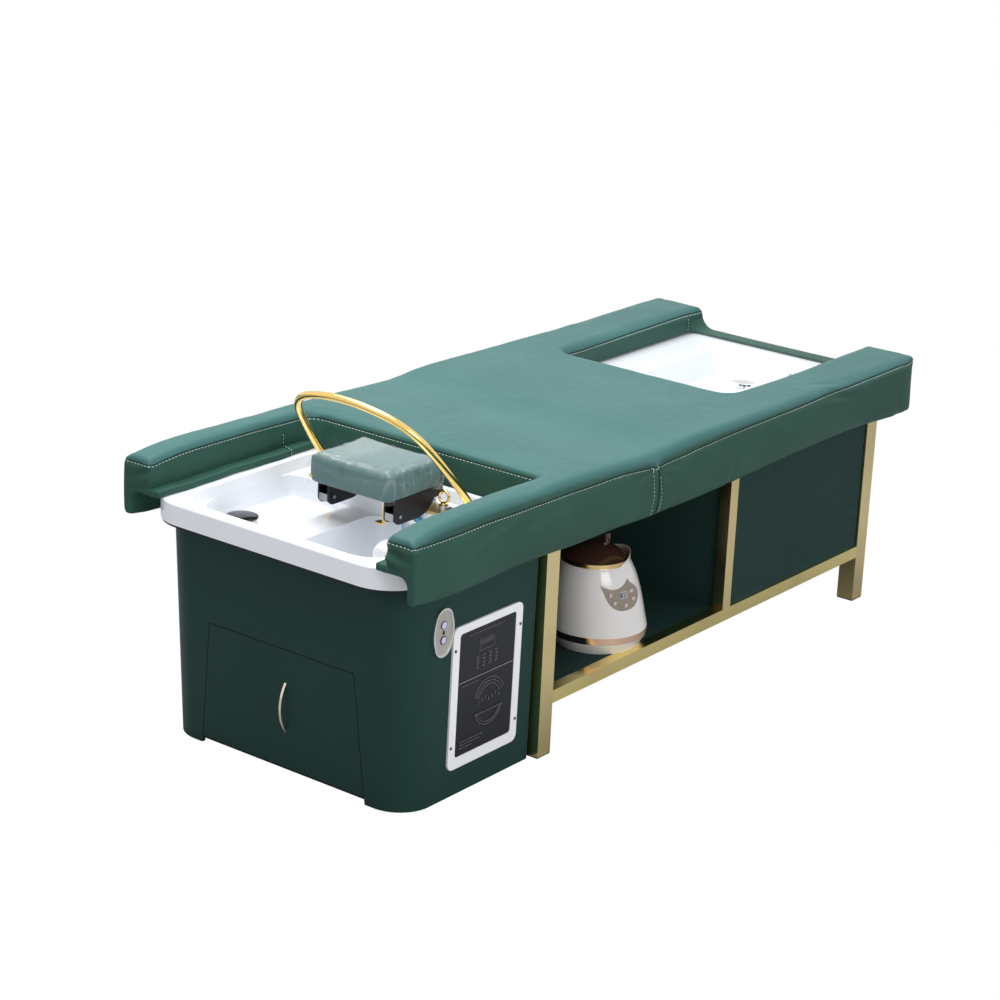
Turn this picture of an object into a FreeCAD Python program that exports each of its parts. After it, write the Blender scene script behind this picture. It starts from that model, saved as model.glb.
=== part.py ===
import FreeCAD, Part
import math
import os

# Hair washing bed, in millimetres. X runs from the head end (-) to the foot end (+), the side that
# faces the viewer is -Y, Z is up from the floor, and the origin is under the middle of the bed.
V = FreeCAD.Vector
AXIS_X = V(1, 0, 0)
AXIS_Y = V(0, 1, 0)
AXIS_Z = V(0, 0, 1)
HALF = 0.5
overrun = 5.0
level_tolerance = 0.01

# Mattress: one padded top with a notch over each basin
bed_length = 2100.0
bed_width = 848.0
mattress_side_height = 125.0
mattress_wave = 28.0
mattress_crown = 16.0
mattress_lift = 14.0
mattress_droop = 20.0
mattress_side_bulge = 4.0
mattress_shoulder = 30.0
mattress_shoulder_rise_share = 0.75
mattress_roll_in_share = 0.35
mattress_roll_up_share = 0.55
mattress_foot_corner = 45.0
mattress_head_corner = 6.0
# Shares along the bed: place, dip of the seam, crown, drop of the lower edge
mattress_station_shares = (
    (0.0, 0.0, 0.9, 0.0), (0.057, 0.1, 0.9, 0.1), (0.137, 0.04, 0.95, 0.15), (0.222, -0.14, 0.9, 0.55),
    (0.311, 0.18, 0.9, 0.8), (0.421, 1.0, 1.0, 0.85), (0.504, 0.86, 1.0, 0.8), (0.607, 0.64, 0.75, 0.85),
    (0.715, 0.57, 0.65, 0.8), (0.833, 0.32, 0.55, 0.8), (0.95, 0.32, 0.55, 1.0), (1.0, 0.5, 0.5, 1.0))
head_notch_length = 540.0
head_arm_width = 80.0
head_arm_corner = 30.0
head_lip_width = 24.0
head_lip_thickness = 14.0
head_flap_thickness = 20.0
foot_notch_start_from_foot = 670.0
foot_notch_from_side = 164.0
foot_notch_corner = 35.0
foot_bar_width = 60.0
foot_bar_rise = 78.0

# Gold frame of square tube
tube_wall = 1.5
frame_from_side = 45.0
leg_size = 48.0
leg_head_from_head = 531.0
leg_foot_from_foot = 167.0
post_width = 34.0
post_x = 233.0
rail_depth = 30.0
lower_rail_base = 125.0
lower_rail_height = 32.0
upper_rail_height = 25.0
glide_plate = 3.0
glide_plug = 20.0
glide_inset = 0.5
ledger_leg = 17.0
ledger_thickness = 2.0
deck_thickness = 15.0
deck_top = 527.0
deck_start_from_head = 543.0
deck_end_from_foot = 38.0
deck_edge_inset = 2.0

# Cabinet boards between the legs
board_thickness = 12.0
shelf_thickness = 15.0
front_panel_gap = 2.0
panel_recess = 6.0
foot_pipe_clearance = 1.5

# Casing under the head basin, tapered to the floor
casing_front_floor_from_head = 75.0
casing_front_lean = 24.0
casing_back_from_head = 527.0
casing_floor_from_side = 66.0
casing_side_lean = 8.0
casing_wall = 10.0
casing_corner = 86.0
casing_back_corner = 15.0
casing_base_thickness = 12.0

# Access door in the casing front
door_top_from_side = 143.0
door_bottom_from_side = 115.0
door_top = 306.0
door_bottom = 17.0
door_gap = 2.0
door_thickness = 10.0
door_handle_low = 103.0
door_handle_high = 226.0
door_handle_offset = -15.0
door_handle_reach = 20.0
door_handle_width = 6.0
door_handle_thickness = 5.0
door_handle_foot = 8.0
hinge_axis_height = 23.0
hinge_axis_depth = 7.0
hinge_radius = 4.5
hinge_pin_radius = 2.0
hinge_pin_fit = 0.05
hinge_place = 150.0
hinge_knuckle = 20.0
hinge_side_knuckle = 12.0
hinge_play = 0.3
hinge_leaf = 2.5
hinge_leaf_height = 34.0
hinge_pocket_clear = 1.2

# Head basin: a white moulded tub with a wide turned-down rim
rim_front_from_head = 4.0
rim_back_from_head = 537.0
rim_from_side = 48.0
rim_corner = 108.0
rim_back_corner = 20.0
rim_rise = 65.0
rim_skirt_depth = 50.0
rim_wall = 6.0
rim_edge_round = 5.0
basin_wall = 7.0
basin_mouth_front_from_head = 40.0
basin_mouth_back_from_head = 522.0
basin_mouth_from_side = 121.0
basin_mouth_corner = 96.0
basin_back_corner = 40.0
basin_draft = 6.0
basin_front_lean = 32.0
basin_deck_drop = 30.0
basin_deck_front_from_head = 416.0
basin_ridge_drop = 64.0
basin_ridge_far = 115.0
basin_ridge_near = 30.0
basin_far_depth = 84.0
basin_near_depth = 197.0
basin_near_draft = 36.0
basin_pocket_corner = 70.0
basin_far_floor_round = 12.0
basin_near_floor_round = 20.0
basin_lip_round = 5.0
gasket_thickness = 6.0
gasket_inset = 3.0
gasket_gap = 0.5

# Wastes, strainer and plumbing
waste_from_head = 190.0
waste_from_side = 186.0
waste_flange_radius = 35.0
waste_flange_thickness = 3.0
waste_tail_radius = 22.0
waste_tail_length = 50.0
waste_bore_radius = 17.0
waste_nut_radius = 30.0
waste_nut_thickness = 12.0
waste_guide_radius = 8.0
waste_guide_height = 12.0
waste_spoke_width = 4.0
waste_cap_radius = 38.0
waste_cap_edge = 3.0
waste_cap_dome = 3.0
waste_cap_lift = 12.0
waste_stem_radius = 5.0
waste_stem_fit = 0.1
sump_from_head = 230.0
sump_y = -128.0
sump_slot_count = 5
sump_slot_width = 4.0
sump_slot_bar = 2.0
trap_radius = 38.0
trap_depth = 110.0
drain_radius = 20.0
drain_end_from_side = 22.0
drain_drop = 192.0
drain_bore = 17.0
wall_pass_clearance = 0.5
wall_flange_radius = 28.0
wall_flange_thickness = 4.0
strainer_y = -88.0
strainer_drop = 63.0
strainer_radius = 29.0
strainer_face = 21.0
strainer_thickness = 12.0
strainer_tail_radius = 15.0
strainer_tail_length = 24.0
strainer_dome = 4.0
inlet_radius = 10.45
inlet_bore = 7.0
inlet_first_from_head = 350.0
inlet_spacing = 60.0
inlet_height = 200.0
inlet_end_from_side = 22.0
inlet_nut_radius = 15.0
inlet_nut_thickness = 8.0
inlet_lock_thickness = 5.0
inlet_inside = 30.0
pump_head_radius = 62.0
pump_head_length = 60.0
pump_motor_radius = 50.0
pump_motor_length = 120.0
pump_foot_height = 10.0
pump_foot_width = 90.0
pump_port_radius = 14.0
pump_port_length = 28.0
tank_length = 190.0
tank_width = 250.0
tank_height = 290.0
tank_from_head = 160.0
tank_y = 40.0
tank_corner = 30.0
hose_radius = 9.0
hose_bend = 50.0
sump_hose_radius = 16.0
riser_run_height = 200.0
feed_run = 14.0
feed_bend = 10.0
feed_gap = 0.3
foot_pipe_end = 70.0

# Gold bridge bar, neck rest, spray arch and valve on the basin deck
bridge_front_from_head = 426.0
bridge_back_from_head = 482.0
bridge_end_from_side = 174.0
bridge_thickness = 6.0
bridge_corner = 4.0
bridge_screw_row_from_head = 439.0
bridge_screw_inset = 12.0
bridge_screw_inner = 40.0
screw_head_radius = 5.5
screw_head_height = 3.0
screw_shank_radius = 3.0
screw_hole_clear = 0.3
screw_length = 24.0
neck_arm_place = 98.0
neck_block_width = 24.0
neck_block_height = 18.0
neck_block_front_from_head = 308.0
neck_block_back_from_head = 460.0
neck_pin_from_head = 326.0
neck_pin_radius = 4.0
neck_pin_fit = 0.05
neck_pin_stand = 2.5
neck_plate_thickness = 4.0
neck_plate_play = 0.4
neck_plate_top_rise = 56.0
neck_plate_nose = 18.0
neck_plate_back_from_head = 477.0
neck_plate_heel_from_head = 390.0
neck_plate_rise_from_head = 447.0
neck_plate_step_rise = 31.0
neck_plate_sag = 8.0
neck_web_thickness = 3.0
tilt_tab_width = 14.0
tilt_tab_thickness = 3.0
tilt_tab_reach = 22.0
tilt_tab_toe = 5.0
pillow_length = 190.0
pillow_width = 236.0
pillow_front_from_head = 278.0
pillow_rise = 122.0
pillow_corner = 26.0
pillow_board_thickness = 8.0
pillow_board_inset = 18.0
# Shares of the pillow: height, drawn-in part of its half width
pillow_section_shares = ((0.0, 0.03), (0.3, 0.0), (0.68, 0.025), (0.86, 0.12), (0.96, 0.3), (1.0, 0.55))
arch_axis_from_head = 470.0
arch_axis_rise = 20.0
arch_from_side = 214.0
arch_lean_degrees = 40.0
arch_tube_radius = 9.0
arch_tube_bore = 7.0
arch_straight = 25.0
arch_side_radius = 900.0
arch_side_turn_degrees = 13.0
arch_shoulder_radius = 130.0
arch_shoulder_turn_degrees = 55.0
arch_hub_radius = 12.0
arch_hub_length = 18.0
arch_pin_radius = 5.0
arch_pin_fit = 0.05
arch_pin_length = 18.0
arch_socket_gap = 0.5
arch_socket_width = 22.0
arch_socket_length = 24.0
arch_socket_head = 12.0
valve_from_head = 450.0
valve_y = -140.0
valve_radius = 11.0
valve_height = 14.0
valve_tail_radius = 8.0
valve_tail_length = 20.0
valve_port_radius = 6.0
valve_port_length = 6.0
valve_stem_radius = 3.0
valve_stem_depth = 8.0
valve_stem_fit = 0.05
valve_hub_radius = 7.0
valve_hub_height = 5.0
valve_hub_gap = 0.3
valve_ring_radius = 14.0
valve_ring_bar = 3.0

# Hand shower in its cradle on the near wall
shower_from_head = 106.0
shower_from_near_side = 169.0
shower_drop = 2.0
shower_face_radius = 28.0
shower_head_depth = 22.0
shower_neck_radius = 12.0
shower_face_tilt = 49.0
shower_handle_drop = 14.5
shower_handle_radius = 11.5
shower_handle_length = 132.0
shower_face_inset = 4.0
shower_face_proud = 1.0
cradle_place_share = 0.72
cradle_length = 18.0
cradle_wall = 5.0
cradle_gap = 0.4
cradle_foot_height = 34.0

# Instruction panel and switch plate on the near side of the casing
panel_left_from_head = 216.0
panel_width = 247.0
panel_base = 67.0
panel_height = 342.0
panel_corner = 18.0
panel_thickness = 5.0
panel_border_side = 23.5
panel_border_base = 27.0
panel_border_top = 19.0
plate_corner = 8.0
plate_thickness = 3.5
panel_screw_inset = 8.0
panel_screw_low = 56.0
panel_screw_high = 288.0
panel_screw_radius = 3.5
panel_screw_head = 1.6
panel_screw_shank = 1.8
panel_screw_clear = 0.2
panel_screw_length = 14.0
switch_from_head = 176.0
switch_drop = 178.0
switch_half_width = 35.0
switch_half_height = 57.0
switch_shoulder_share = 0.82
switch_bezel_rim = 5.0
switch_bezel_height = 9.0
switch_plate_height = 7.0
switch_body_half_width = 18.0
switch_body_half_height = 36.0
switch_body_depth = 40.0
switch_body_clear = 0.5
button_offset = 17.5
button_radius = 8.0
button_fit = 0.1
button_proud = 1.5
button_depth = 8.0
button_travel = 1.5

# Foot basin let into the mattress
foot_basin_start_from_foot = 698.0
foot_basin_end_from_foot = 32.0
foot_basin_from_side = 136.0
foot_basin_corner = 20.0
foot_basin_rise = 70.0
foot_basin_wall = 5.0
foot_bowl_start_from_foot = 490.0
foot_bowl_end_from_foot = 74.0
foot_bowl_from_side = 284.0
foot_bowl_corner = 80.0
foot_bowl_depth = 72.0
foot_bowl_draft = 34.0
foot_bowl_floor_round = 14.0
foot_bowl_lip_round = 6.0
foot_waste_from_foot = 183.0
foot_pocket_clearance = 2.0
deck_hole_clearance = 12.0
foot_tap_from_foot = 221.0
foot_tap_from_near_side = 262.0
foot_tap_height = 14.0
foot_tap_stem_radius = 3.5
foot_tap_bar_radius = 4.0
foot_tap_bar_length = 28.0
foot_tap_collar_radius = 8.0
foot_tap_collar = 3.0
foot_tap_fit = 0.1
foot_tap_play = 0.3
foot_tap_depth = 30.0
foot_tap_nut_radius = 9.0

# Herb steamer on the shelf
steamer_x = -141.0
steamer_from_near_side = 164.0
steamer_base_radius = 103.0
steamer_waist_radius = 121.0
steamer_base_height = 30.0
steamer_band_height = 16.0
steamer_band_proud = 1.2
steamer_body_height = 163.0
steamer_neck_radius = 86.0
steamer_lean = 15.0
steamer_lean_azimuth = 140.0
steamer_wall = 3.0
steamer_ring_radius = 84.0
steamer_ring_height = 10.0
steamer_crest_height = 22.0
steamer_crest_azimuth = -40.0
steamer_lid_height = 28.0
steamer_lid_radius = 78.0
steamer_lid_gap = 0.3
steamer_lid_wall = 3.0
steamer_spout_radius = 10.0
steamer_spout_height = 14.0
steamer_spout_offset = 45.0
steamer_floor = 4.0
# Shares of the body: height, part of the narrowing done there
steamer_profile_shares = ((0.0, 0.0), (0.27, 0.16), (0.6, 0.39), (0.82, 0.65), (1.0, 1.0))
steamer_panel_azimuth = 254.0
steamer_panel_height = 300.0
steamer_panel_thickness = 1.5
# Outline of the panel, across and up from its middle: the bitten top edge, then the round lower edge
steamer_panel_bite = ((-54.0, 31.0), (-38.0, 23.0), (-23.0, 20.0), (-8.0, 22.0), (8.0, 29.0), (20.0, 39.0))
steamer_panel_round = ((20.0, 39.0), (38.0, 22.0), (52.0, 9.0), (55.0, -2.0), (48.0, -17.0), (33.0, -28.0),
                       (14.0, -32.0), (-5.0, -32.0), (-22.0, -27.0), (-36.0, -15.0), (-46.0, 6.0), (-54.0, 31.0))
steamer_display_width = 27.0
steamer_display_height = 18.0
steamer_display_across = -7.0
steamer_display_rise = 5.0
steamer_button_radius = 4.5
steamer_button_proud = 2.5
steamer_button_depth = 6.0
steamer_button_fit = 0.1
# Places of the buttons on the panel: across, up
steamer_button_places = ((-35.5, 8.0), (-26.0, -11.0), (4.0, -20.0), (31.0, -9.0), (26.0, 11.0))

half_length = bed_length * HALF
half_width = bed_width * HALF

# Places along the bed, counted from its head end
leg_head_x = leg_head_from_head - half_length
deck_start = deck_start_from_head - half_length
casing_front_floor = casing_front_floor_from_head - half_length
casing_back = casing_back_from_head - half_length
rim_front = rim_front_from_head - half_length
rim_back = rim_back_from_head - half_length
basin_mouth_front = basin_mouth_front_from_head - half_length
basin_mouth_back = basin_mouth_back_from_head - half_length
basin_deck_front = basin_deck_front_from_head - half_length
waste_x = waste_from_head - half_length
sump_x = sump_from_head - half_length
inlet_first_x = inlet_first_from_head - half_length
tank_x = tank_from_head - half_length
bridge_front = bridge_front_from_head - half_length
bridge_back = bridge_back_from_head - half_length
bridge_screw_row = bridge_screw_row_from_head - half_length
neck_block_front = neck_block_front_from_head - half_length
neck_block_back = neck_block_back_from_head - half_length
neck_pin_x = neck_pin_from_head - half_length
neck_plate_back = neck_plate_back_from_head - half_length
neck_plate_heel_x = neck_plate_heel_from_head - half_length
neck_plate_rise_x = neck_plate_rise_from_head - half_length
pillow_front = pillow_front_from_head - half_length
arch_axis_x = arch_axis_from_head - half_length
valve_x = valve_from_head - half_length
shower_x = shower_from_head - half_length
panel_left = panel_left_from_head - half_length
switch_x = switch_from_head - half_length

# Places along the bed, counted from its foot end
leg_foot_x = half_length - leg_foot_from_foot
deck_end = half_length - deck_end_from_foot
foot_notch_start = half_length - foot_notch_start_from_foot
foot_basin_start = half_length - foot_basin_start_from_foot
foot_basin_end = half_length - foot_basin_end_from_foot
foot_bowl_start = half_length - foot_bowl_start_from_foot
foot_bowl_end = half_length - foot_bowl_end_from_foot
foot_waste_x = half_length - foot_waste_from_foot
foot_tap_x = half_length - foot_tap_from_foot

# Places across the bed, counted from its long sides
frame_half_width = half_width - frame_from_side
casing_half_width_floor = half_width - casing_floor_from_side
rim_half_width = half_width - rim_from_side
basin_mouth_half_width = half_width - basin_mouth_from_side
bridge_half_length = half_width - bridge_end_from_side
arch_half_width = half_width - arch_from_side
foot_basin_half_width = half_width - foot_basin_from_side
foot_notch_half_width = half_width - foot_notch_from_side
foot_bowl_half_width = half_width - foot_bowl_from_side
waste_y = half_width - waste_from_side
drain_end = half_width - drain_end_from_side
inlet_end = half_width - inlet_end_from_side
shower_y = shower_from_near_side - half_width
foot_tap_y = foot_tap_from_near_side - half_width
steamer_y = steamer_from_near_side - half_width
door_half_width_top = casing_half_width_floor - door_top_from_side
door_half_width_bottom = casing_half_width_floor - door_bottom_from_side
bridge_screw_outer = bridge_half_length - bridge_screw_inset
bridge_screw_places = (-bridge_screw_outer, -bridge_screw_inner, bridge_screw_inner,
                       bridge_screw_outer)

# Heights, counted from the deck board
mattress_underside = deck_top + mattress_lift
mattress_seam_height = mattress_underside + mattress_side_height
foot_bar_height = deck_top + foot_bar_rise
foot_basin_top = deck_top + foot_basin_rise
foot_bowl_floor = foot_basin_top - foot_bowl_depth
rim_top = deck_top + rim_rise
basin_deck_height = rim_top - basin_deck_drop
basin_ridge_height = rim_top - basin_ridge_drop
basin_far_floor = rim_top - basin_far_depth
basin_near_floor = rim_top - basin_near_depth
strainer_z = rim_top - strainer_drop
drain_height = rim_top - drain_drop
shower_z = rim_top - shower_drop
switch_z = rim_top - switch_drop
neck_plate_top = basin_deck_height + neck_plate_top_rise
neck_plate_rise = basin_deck_height + neck_plate_step_rise
pillow_top = basin_deck_height + pillow_rise
arch_axis_height = basin_deck_height + arch_axis_rise

# Sizes that follow from these
deck_base = deck_top - deck_thickness
shelf_top = lower_rail_base + lower_rail_height
shelf_base = shelf_top - shelf_thickness
casing_top = rim_top - rim_wall
casing_front_top = casing_front_floor - casing_front_lean
casing_half_width_top = casing_half_width_floor + casing_side_lean
side_tilt = math.degrees(math.atan(casing_side_lean / casing_top))
front_tilt = math.degrees(math.atan(casing_front_lean / casing_top))
bridge_top = basin_deck_height + bridge_thickness
neck_pin_z = bridge_top + neck_block_height * HALF


def box(x0, x1, y0, y1, z0, z1):
    return Part.makeBox(x1 - x0, y1 - y0, z1 - z0, V(x0, y0, z0))


def cylinder(radius, start, direction, length):
    return Part.makeCylinder(radius, length, start, direction)


def tube(radius, bore, start, direction, length):
    outer = cylinder(radius, start, direction, length)
    lead = V(direction).normalize() * overrun
    return outer.cut(cylinder(bore, start - lead, direction, length + 2 * overrun))


def fuse(*shapes):
    return shapes[0].multiFuse(list(shapes[1:])).removeSplitter()


def mirrored(shape):
    return shape.mirror(V(0, 0, 0), AXIS_Y)


def rounded_wire(x0, x1, y0, y1, front, back, z):
    """Rectangle with one corner radius at its -X end and another at its +X end."""
    diagonal = math.sqrt(HALF)
    edges = []
    corners = ((x1, y0, back, -1, 1), (x1, y1, back, -1, -1), (x0, y1, front, 1, -1), (x0, y0, front, 1, 1))
    starts = []
    for x, y, r, sx, sy in corners:
        centre = V(x + sx * r, y + sy * r, z)
        out_x = V(centre.x - sx * r, centre.y, z)
        out_y = V(centre.x, centre.y - sy * r, z)
        middle = V(centre.x - sx * r * diagonal, centre.y - sy * r * diagonal, z)
        pair = (out_y, out_x) if sx * sy < 0 else (out_x, out_y)
        starts.append((pair[0], middle, pair[1]))
    for i, (first, middle, last) in enumerate(starts):
        edges.append(Part.Arc(first, middle, last).toShape())
        following = starts[(i + 1) % len(starts)][0]
        edges.append(Part.LineSegment(last, following).toShape())
    return Part.Wire(edges)


def rounded_plate(x0, x1, y0, y1, front, back, z0, z1):
    face = Part.Face(rounded_wire(x0, x1, y0, y1, front, back, z0))
    return face.extrude(V(0, 0, z1 - z0))


def prism(points, direction):
    """Extrude a closed outline of straight lines."""
    face = Part.Face(Part.makePolygon(list(points) + [points[0]]))
    return face.extrude(direction)


def upright_edges(solid, middle, side):
    """The long sloping edges of a block that lie on one side of a place along X."""
    upright = [e for e in solid.Edges if e.BoundBox.ZLength > level_tolerance]
    return [e for e in upright if (e.CenterOfMass.x - middle) * side > 0]


def level_edges(solid, z):
    return [e for e in solid.Edges if all(abs(v.Z - z) < level_tolerance for v in e.Vertexes)]


def frustum(low, high, z0, z1, front, back, floor=0):
    """Block with flat sloping sides between two rectangles (x0, x1, y0, y1), its edges rounded."""
    left = min(low[0], high[0])
    near = min(low[2], high[2])
    side_view = [V(low[0], near, z0), V(low[1], near, z0), V(high[1], near, z1), V(high[0], near, z1)]
    end_view = [V(left, low[2], z0), V(left, low[3], z0), V(left, high[3], z1), V(left, high[2], z1)]
    along = prism(side_view, V(0, max(low[3], high[3]) - near, 0))
    across = prism(end_view, V(max(low[1], high[1]) - left, 0, 0))
    solid = along.common(across)
    middle = (low[0] + low[1]) * HALF
    solid = solid.makeFillet(front, upright_edges(solid, middle, -1))
    solid = solid.makeFillet(back, upright_edges(solid, middle, 1))
    if floor:
        solid = solid.makeFillet(floor, level_edges(solid, z0))
    return solid


def round_path(points, bend):
    """Straight runs joined by tangent arcs of one bend radius."""
    edges = []
    last = points[0]
    for before, corner, after in zip(points, points[1:], points[2:]):
        inward = (before - corner).normalize()
        outward = (after - corner).normalize()
        half_turn = inward.getAngle(outward) * HALF
        setback = bend / math.tan(half_turn)
        first = corner + inward * setback
        final = corner + outward * setback
        bisector = (inward + outward).normalize()
        middle = corner + bisector * (bend / math.sin(half_turn) - bend)
        edges.append(Part.LineSegment(last, first).toShape())
        edges.append(Part.Arc(first, middle, final).toShape())
        last = final
    edges.append(Part.LineSegment(last, points[-1]).toShape())
    return Part.Wire(edges)


def swept(wire, radius, start, direction):
    circle = Part.Wire(Part.makeCircle(radius, start, direction))
    return wire.makePipeShell([circle], True, False)


def domed_disc(radius, edge, rise, base, direction):
    """A disc with a straight edge and a domed top, standing on a base point."""
    ball = (radius ** 2 + rise ** 2) / (2 * rise)
    half_angle = math.asin(radius / ball) * HALF
    top = V(0, 0, edge + rise)
    middle = V(ball * math.sin(half_angle), 0, top.z - ball + ball * math.cos(half_angle))
    foot = V(radius, 0, 0)
    rim = V(radius, 0, edge)
    edges = [Part.LineSegment(V(0, 0, 0), foot).toShape(), Part.LineSegment(foot, rim).toShape(),
             Part.Arc(rim, middle, top).toShape(), Part.LineSegment(top, V(0, 0, 0)).toShape()]
    solid = Part.Face(Part.Wire(edges)).revolve(V(0, 0, 0), AXIS_Z, 360)
    solid.Placement = FreeCAD.Placement(base, FreeCAD.Rotation(AXIS_Z, direction))
    return solid


def turned(shape, centre, axis, angle):
    copy = shape.copy()
    copy.rotate(centre, axis, angle)
    return copy


def on_side(shape):
    """Move a shape drawn on a wall at y = 0 to the leaning near side of the casing."""
    copy = turned(shape, V(0, 0, 0), AXIS_X, side_tilt)
    copy.translate(V(0, -casing_half_width_floor, 0))
    return copy


def on_front(shape):
    """Move a shape drawn on a wall at x = 0 to the leaning front of the casing."""
    copy = turned(shape, V(0, 0, 0), AXIS_Y, -front_tilt)
    copy.translate(V(casing_front_floor, 0, 0))
    return copy


def save(name, *solids):
    shape = solids[0] if len(solids) == 1 else Part.makeCompound(list(solids))
    count = len(shape.Solids)
    state = "ok" if shape.isValid() else "INVALID"
    print(name, state, count, "solids", round(shape.Volume / 1000, 1), "cm3")
    shape.exportStep(os.path.join("parts", name + ".step"))


# Mattress
def mattress_section(place, dip, crown, drop):
    x = -half_length + place * bed_length
    low = mattress_underside - drop * mattress_droop
    seam = mattress_seam_height - dip * mattress_wave
    top = seam + crown * mattress_crown
    shoulder = seam + (top - seam) * mattress_shoulder_rise_share
    edges = []
    foot = V(x, half_width - mattress_side_bulge, low)
    belly = V(x, half_width, (low + seam) * HALF)
    stitch = V(x, half_width - mattress_side_bulge * HALF, seam)
    rise = V(x, half_width - mattress_shoulder * mattress_roll_in_share,
             seam + (top - seam) * mattress_roll_up_share)
    inner = V(x, half_width - mattress_shoulder, shoulder)
    middle = V(x, 0, top)
    flip = [V(p.x, -p.y, p.z) for p in (foot, belly, stitch, rise, inner)]
    edges.append(Part.LineSegment(flip[0], foot).toShape())
    edges.append(Part.Arc(foot, belly, stitch).toShape())
    edges.append(Part.Arc(stitch, rise, inner).toShape())
    edges.append(Part.Arc(inner, middle, flip[4]).toShape())
    edges.append(Part.Arc(flip[4], flip[3], flip[2]).toShape())
    edges.append(Part.Arc(flip[2], flip[1], flip[0]).toShape())
    return Part.Wire(edges)


def make_mattress():
    pad = Part.makeLoft([mattress_section(*s) for s in mattress_station_shares], True, False)
    tall = mattress_seam_height + mattress_wave
    plan = rounded_plate(-half_length, half_length, -half_width, half_width,
                         mattress_head_corner, mattress_foot_corner, 0, tall)
    pad = pad.common(plan)
    head_open = -half_length - head_arm_corner - overrun
    notch_x = -half_length + head_notch_length
    arm = half_width - head_arm_width
    lip = arm - head_lip_width
    lip_top = rim_top + head_lip_thickness
    flap = half_width - head_flap_thickness
    pad = pad.cut(rounded_plate(head_open, notch_x, -arm, arm, overrun, head_arm_corner, lip_top, tall))
    pad = pad.cut(rounded_plate(head_open, notch_x, -lip, lip, overrun, overrun, rim_top, lip_top + overrun))
    pad = pad.cut(box(head_open, notch_x, -flap, flap, 0, rim_top))
    bar_x = half_length - foot_bar_width
    side = foot_notch_half_width
    pad = pad.cut(rounded_plate(foot_notch_start, half_length + overrun + foot_notch_corner, -side, side,
                                foot_notch_corner, overrun, foot_bar_height, tall))
    pad = pad.cut(rounded_plate(foot_notch_start, bar_x, -side, side,
                                foot_notch_corner, overrun, foot_basin_top, foot_bar_height + overrun))
    c = foot_pocket_clearance
    pad = pad.cut(rounded_plate(foot_basin_start - c, foot_basin_end + c, -foot_basin_half_width - c,
                                foot_basin_half_width + c, foot_basin_corner, foot_basin_corner,
                                0, foot_basin_top))
    deck = frame_half_width
    pad = pad.cut(box(deck_start - overrun, deck_end + c, -deck, deck, 0, deck_top))
    return pad


# Frame
def square_tube(x0, x1, y0, y1, z0, z1, along):
    """Hollow square tube, open at its two ends along one axis."""
    w = tube_wall
    gaps = {"x": (-overrun, w, w), "y": (w, -overrun, w), "z": (w, w, -overrun)}[along]
    gx, gy, gz = gaps
    inner = box(x0 + gx, x1 - gx, y0 + gy, y1 - gy, z0 + gz, z1 - gz)
    return box(x0, x1, y0, y1, z0, z1).cut(inner)


def make_frame():
    inner_y = frame_half_width - leg_size
    legs = []
    glides = []
    for x in (leg_head_x, leg_foot_x):
        for y in (-frame_half_width, inner_y):
            legs.append(square_tube(x, x + leg_size, y, y + leg_size, glide_plate, deck_base, "z"))
            g = glide_inset
            p = tube_wall + glide_inset
            plate = box(x + g, x + leg_size - g, y + g, y + leg_size - g, 0, glide_plate)
            plug = box(x + p, x + leg_size - p, y + p, y + leg_size - p, glide_plate,
                       glide_plate + glide_plug)
            glides.append(fuse(plate, plug))
    save("legs", *legs)
    save("leg_glides", *glides)
    rail_start = leg_head_x + leg_size
    rail_end = leg_foot_x
    rail_inner = frame_half_width - rail_depth
    rails = []
    for sign in (-1, 1):
        low = sorted((sign * frame_half_width, sign * rail_inner))
        rails.append(square_tube(rail_start, rail_end, low[0], low[1], lower_rail_base, shelf_top, "x"))
        high = sorted((sign * rail_inner, sign * (rail_inner - rail_depth)))
        rails.append(square_tube(rail_start, rail_end, high[0], high[1], deck_base - upper_rail_height,
                                 deck_base, "x"))
        wall = sorted((sign * rail_inner, sign * (rail_inner - ledger_thickness)))
        leg = sorted((sign * rail_inner, sign * (rail_inner - ledger_leg)))
        upright = box(rail_start, rail_end, wall[0], wall[1], lower_rail_base, shelf_base)
        seat = box(rail_start, rail_end, leg[0], leg[1], shelf_base - ledger_thickness, shelf_base)
        rails.append(fuse(upright, seat))
    cross_inset = (leg_size - rail_depth) * HALF
    for x in (leg_head_x + cross_inset, leg_foot_x + cross_inset):
        rails.append(square_tube(x, x + rail_depth, -inner_y, inner_y, lower_rail_base, shelf_top, "y"))
    bearer_half = rail_inner - ledger_thickness
    bearer_top = shelf_base - ledger_thickness
    rails.append(square_tube(post_x, post_x + rail_depth, -bearer_half, bearer_half,
                             lower_rail_base, bearer_top, "y"))
    save("frame_rails", *rails)
    posts = []
    for y in (-frame_half_width, rail_inner):
        posts.append(square_tube(post_x, post_x + post_width, y, y + rail_depth, shelf_top, deck_base, "z"))
    save("mid_posts", *posts)


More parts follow.
